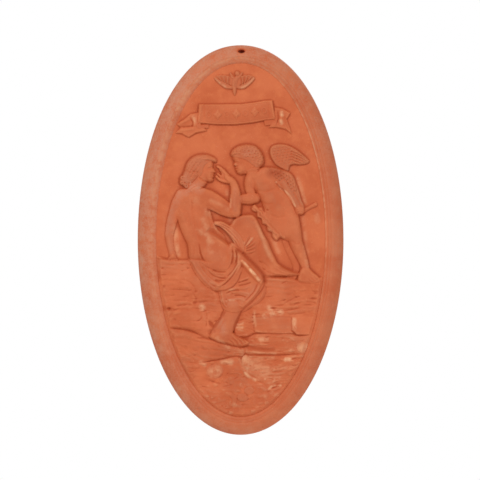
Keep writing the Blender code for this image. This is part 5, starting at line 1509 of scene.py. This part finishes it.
def clay(name, tone):
    """Unglazed fired clay: mottled orange, dust on the high parts, slip and painted shade in the hollows,
    painted highlights.
    """
    material = bpy.data.materials.new(name)
    material.use_nodes = True
    tree = material.node_tree
    n = Nodes(tree)
    patchy = n.noise(7.0, 4.0, 0.6)
    fine = n.noise(1.3, 3.0, 0.6)
    hollow = n.layer("hollow")
    proud = n.times(hollow, -1.0)
    lodged = n.plus(n.plus(n.times(patchy, 0.8), n.times(proud, 0.5)), n.times(fine, 0.9))
    spread = n.ease(lodged, 0.55, 1.15)
    # slip and painted shade darken the hollows; the stains and painted shade of the dark red layer join them
    slip = n.ease(n.plus(hollow, n.times(fine, 0.25)), 0.2, 1.0)
    stain_and_shade = n.maths("MAXIMUM", n.times(slip, SLIP_AND_SHADE_COVER), n.layer("stain_and_shade"))
    rubbed_and_highlit = n.times(n.layer("pale"), n.ease(patchy, 0.3, 0.6))
    colour = n.mix(n.ease(n.noise(26.0, 3.0, 0.55), 0.35, 0.68), BURNT, tone["body"])
    for amount, coat in ((n.times(n.ease(patchy, 0.48, 0.72), 0.4), WARM),
            (n.times(n.times(spread, n.layer("wash")), tone["wash"]), SMOKE),
            (n.times(n.times(spread, n.layer("dust")), ROSE_COVER), ROSE),
            # painted highlight on the high parts, then rubbed patches with painted highlights, then slip,
            # stains and painted shade
            (n.times(n.ease(proud, 0.10, 0.9), tone["light"]), PAINTED_HIGHLIGHT), (n.times(rubbed_and_highlit, CREAM_COVER),
            CREAM), (n.times(stain_and_shade, tone["slip"]), DARK),
            (n.times(n.ease(n.noise(0.9, 1.0, 0.55), 0.70, 0.76), SPECKS), CREAM)):
        colour = n.mix(amount, colour, coat)
    pits = n.add("ShaderNodeTexVoronoi", {"Vector": n.place(), "Scale": 1 / (PIT_PITCH * MM)})
    pitted = n.times(n.ease(pits.outputs["Distance"], 0.02, 0.16), 0.5)
    relief = n.plus(n.plus(n.times(fine, 0.55), n.times(n.noise(0.45, 2.0, 0.6), 0.35)), pitted)
    bump = n.add("ShaderNodeBump", {"Height": relief, "Strength": BUMP_STRENGTH, "Distance": BUMP_DEPTH
        * MM})
    rough = n.add("ShaderNodeMapRange", {"Value": patchy, "To Min": 0.56, "To Max": 0.80})
    surface = tree.nodes["Principled BSDF"].inputs
    surface["Specular IOR Level"].default_value = 0.35
    tree.links.new(colour, surface["Base Color"])
    tree.links.new(rough.outputs["Result"], surface["Roughness"])
    tree.links.new(bump.outputs["Normal"], surface["Normal"])
    return material


# ---------------------------------------------------------------- putting it together

def slot_of(node):
    """The clay that the record gives a node."""
    for subpart in frame["record"]["subparts"]:
        if subpart["node"] == node:
            return subpart["material_slot"]
    return "fired_clay"


def dress(piece, node, clays):
    """Give a mesh its clay and tie it to the plaque's one body."""
    slot = slot_of(node)
    piece.data.materials.clear()
    piece.data.materials.append(clays[slot])
    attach(piece, "root")
    return piece


def build_plaque():
    """One mesh for every node, in its place."""
    clays = {slot: clay("clay_" + slot, tone) for slot, tone in TONES.items()}
    owners = cell_owners()
    for number, node in enumerate(SPRIGS, 1):
        piece = dress(relief_mesh("clay_" + node, owners == number), node, clays)
        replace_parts(piece, node)
    face, back = slab_mesh(owners == 0)
    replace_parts(dress(face, "back_slab", clays), "back_slab")
    dress(back, "back_slab", clays)
    for node, start, end in (("rim_band", 0, BEADS_FROM), ("bead_outer", BEADS_FROM, BEADS_PART),
            ("bead_inner", BEADS_PART, BEADS_TO)):
        band = ring_mesh("clay_" + node, border_section(start, end))
        if node == "rim_band":
            drill(band)
        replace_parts(dress(band, node, clays), node)


# ---------------------------------------------------------------- studio

VIEW_WIDTH = 442.0                           # what the picture shows across, in millimetres
CAMERA_AWAY = 2.6                            # metres
CAMERA_AT = (-0.55, 0.0)                     # a touch left of the middle
SENSOR = 36.0
FLOOR_BELOW = 0.30                           # metres
FLOOR_HALF = 0.34
SKY = 0.50                                   # strength of the light from all round


def add_camera(scene):
    lens = bpy.data.cameras.new("camera")
    lens.sensor_width = SENSOR
    lens.lens = SENSOR * CAMERA_AWAY / (VIEW_WIDTH * MM)
    camera = bpy.data.objects.new("camera", lens)
    camera.location = (CAMERA_AT[0] * MM, -CAMERA_AWAY - FACE * MM, CAMERA_AT[1] * MM)
    camera.rotation_euler = (math.pi / 2, 0, 0)
    scene.collection.objects.link(camera)
    scene.camera = camera


def soft_light(name, place, size, power, colour=(1, 1, 1)):
    """A round area light aimed at the plaque."""
    lamp = bpy.data.lights.new(name, "AREA")
    lamp.shape = "DISK"
    lamp.size = size
    lamp.energy = power
    lamp.color = colour
    stand = bpy.data.objects.new(name, lamp)
    bpy.context.scene.collection.objects.link(stand)
    stand.location = place
    stand.rotation_euler = (-Vector(place)).to_track_quat("-Z", "Y").to_euler()


def add_world(scene):
    """White to the camera, a softer warm white to everything it lights."""
    world = bpy.data.worlds.new("studio")
    world.use_nodes = True
    n = Nodes(world.node_tree)
    seen = n.tree.nodes["Background"]
    seen.inputs["Color"].default_value = (1, 1, 1, 1)
    around = n.add("ShaderNodeBackground", {"Color": (1.0, 0.99, 0.97, 1), "Strength": SKY})
    to_camera = n.add("ShaderNodeLightPath", {}).outputs["Is Camera Ray"]
    mix = n.add("ShaderNodeMixShader", {0: to_camera, 1: around.outputs[0], 2: seen.outputs[0]})
    n.tree.links.new(mix.outputs[0], n.tree.nodes["World Output"].inputs["Surface"])
    scene.world = world


def add_floor(scene):
    mesh = bpy.data.meshes.new("floor")
    sides = ((-1, -1), (1, -1), (1, 1), (-1, 1))
    mesh.from_pydata([(x * FLOOR_HALF, y * FLOOR_HALF, -FLOOR_BELOW) for x, y in sides], [], [(0, 1, 2, 3)])
    paper = bpy.data.materials.new("paper")
    paper.use_nodes = True
    surface = paper.node_tree.nodes["Principled BSDF"].inputs
    surface["Base Color"].default_value = (0.86, 0.86, 0.85, 1)
    surface["Roughness"].default_value = 0.9
    mesh.materials.append(paper)
    floor = bpy.data.objects.new("floor", mesh)
    scene.collection.objects.link(floor)


def studio():
    scene = bpy.context.scene
    add_camera(scene)
    soft_light("key", (-1.0, -1.40, 1.30), 0.45, 21.5, (1.0, 0.98, 0.95))
    soft_light("fill", (1.4, -1.7, -0.1), 1.6, 15.0)
    soft_light("behind", (0.6, 1.4, 1.0), 1.2, 14.0)
    add_world(scene)
    add_floor(scene)
    scene.view_settings.view_transform = "Standard"
    scene.view_settings.look = "None"


build_plaque()
studio()
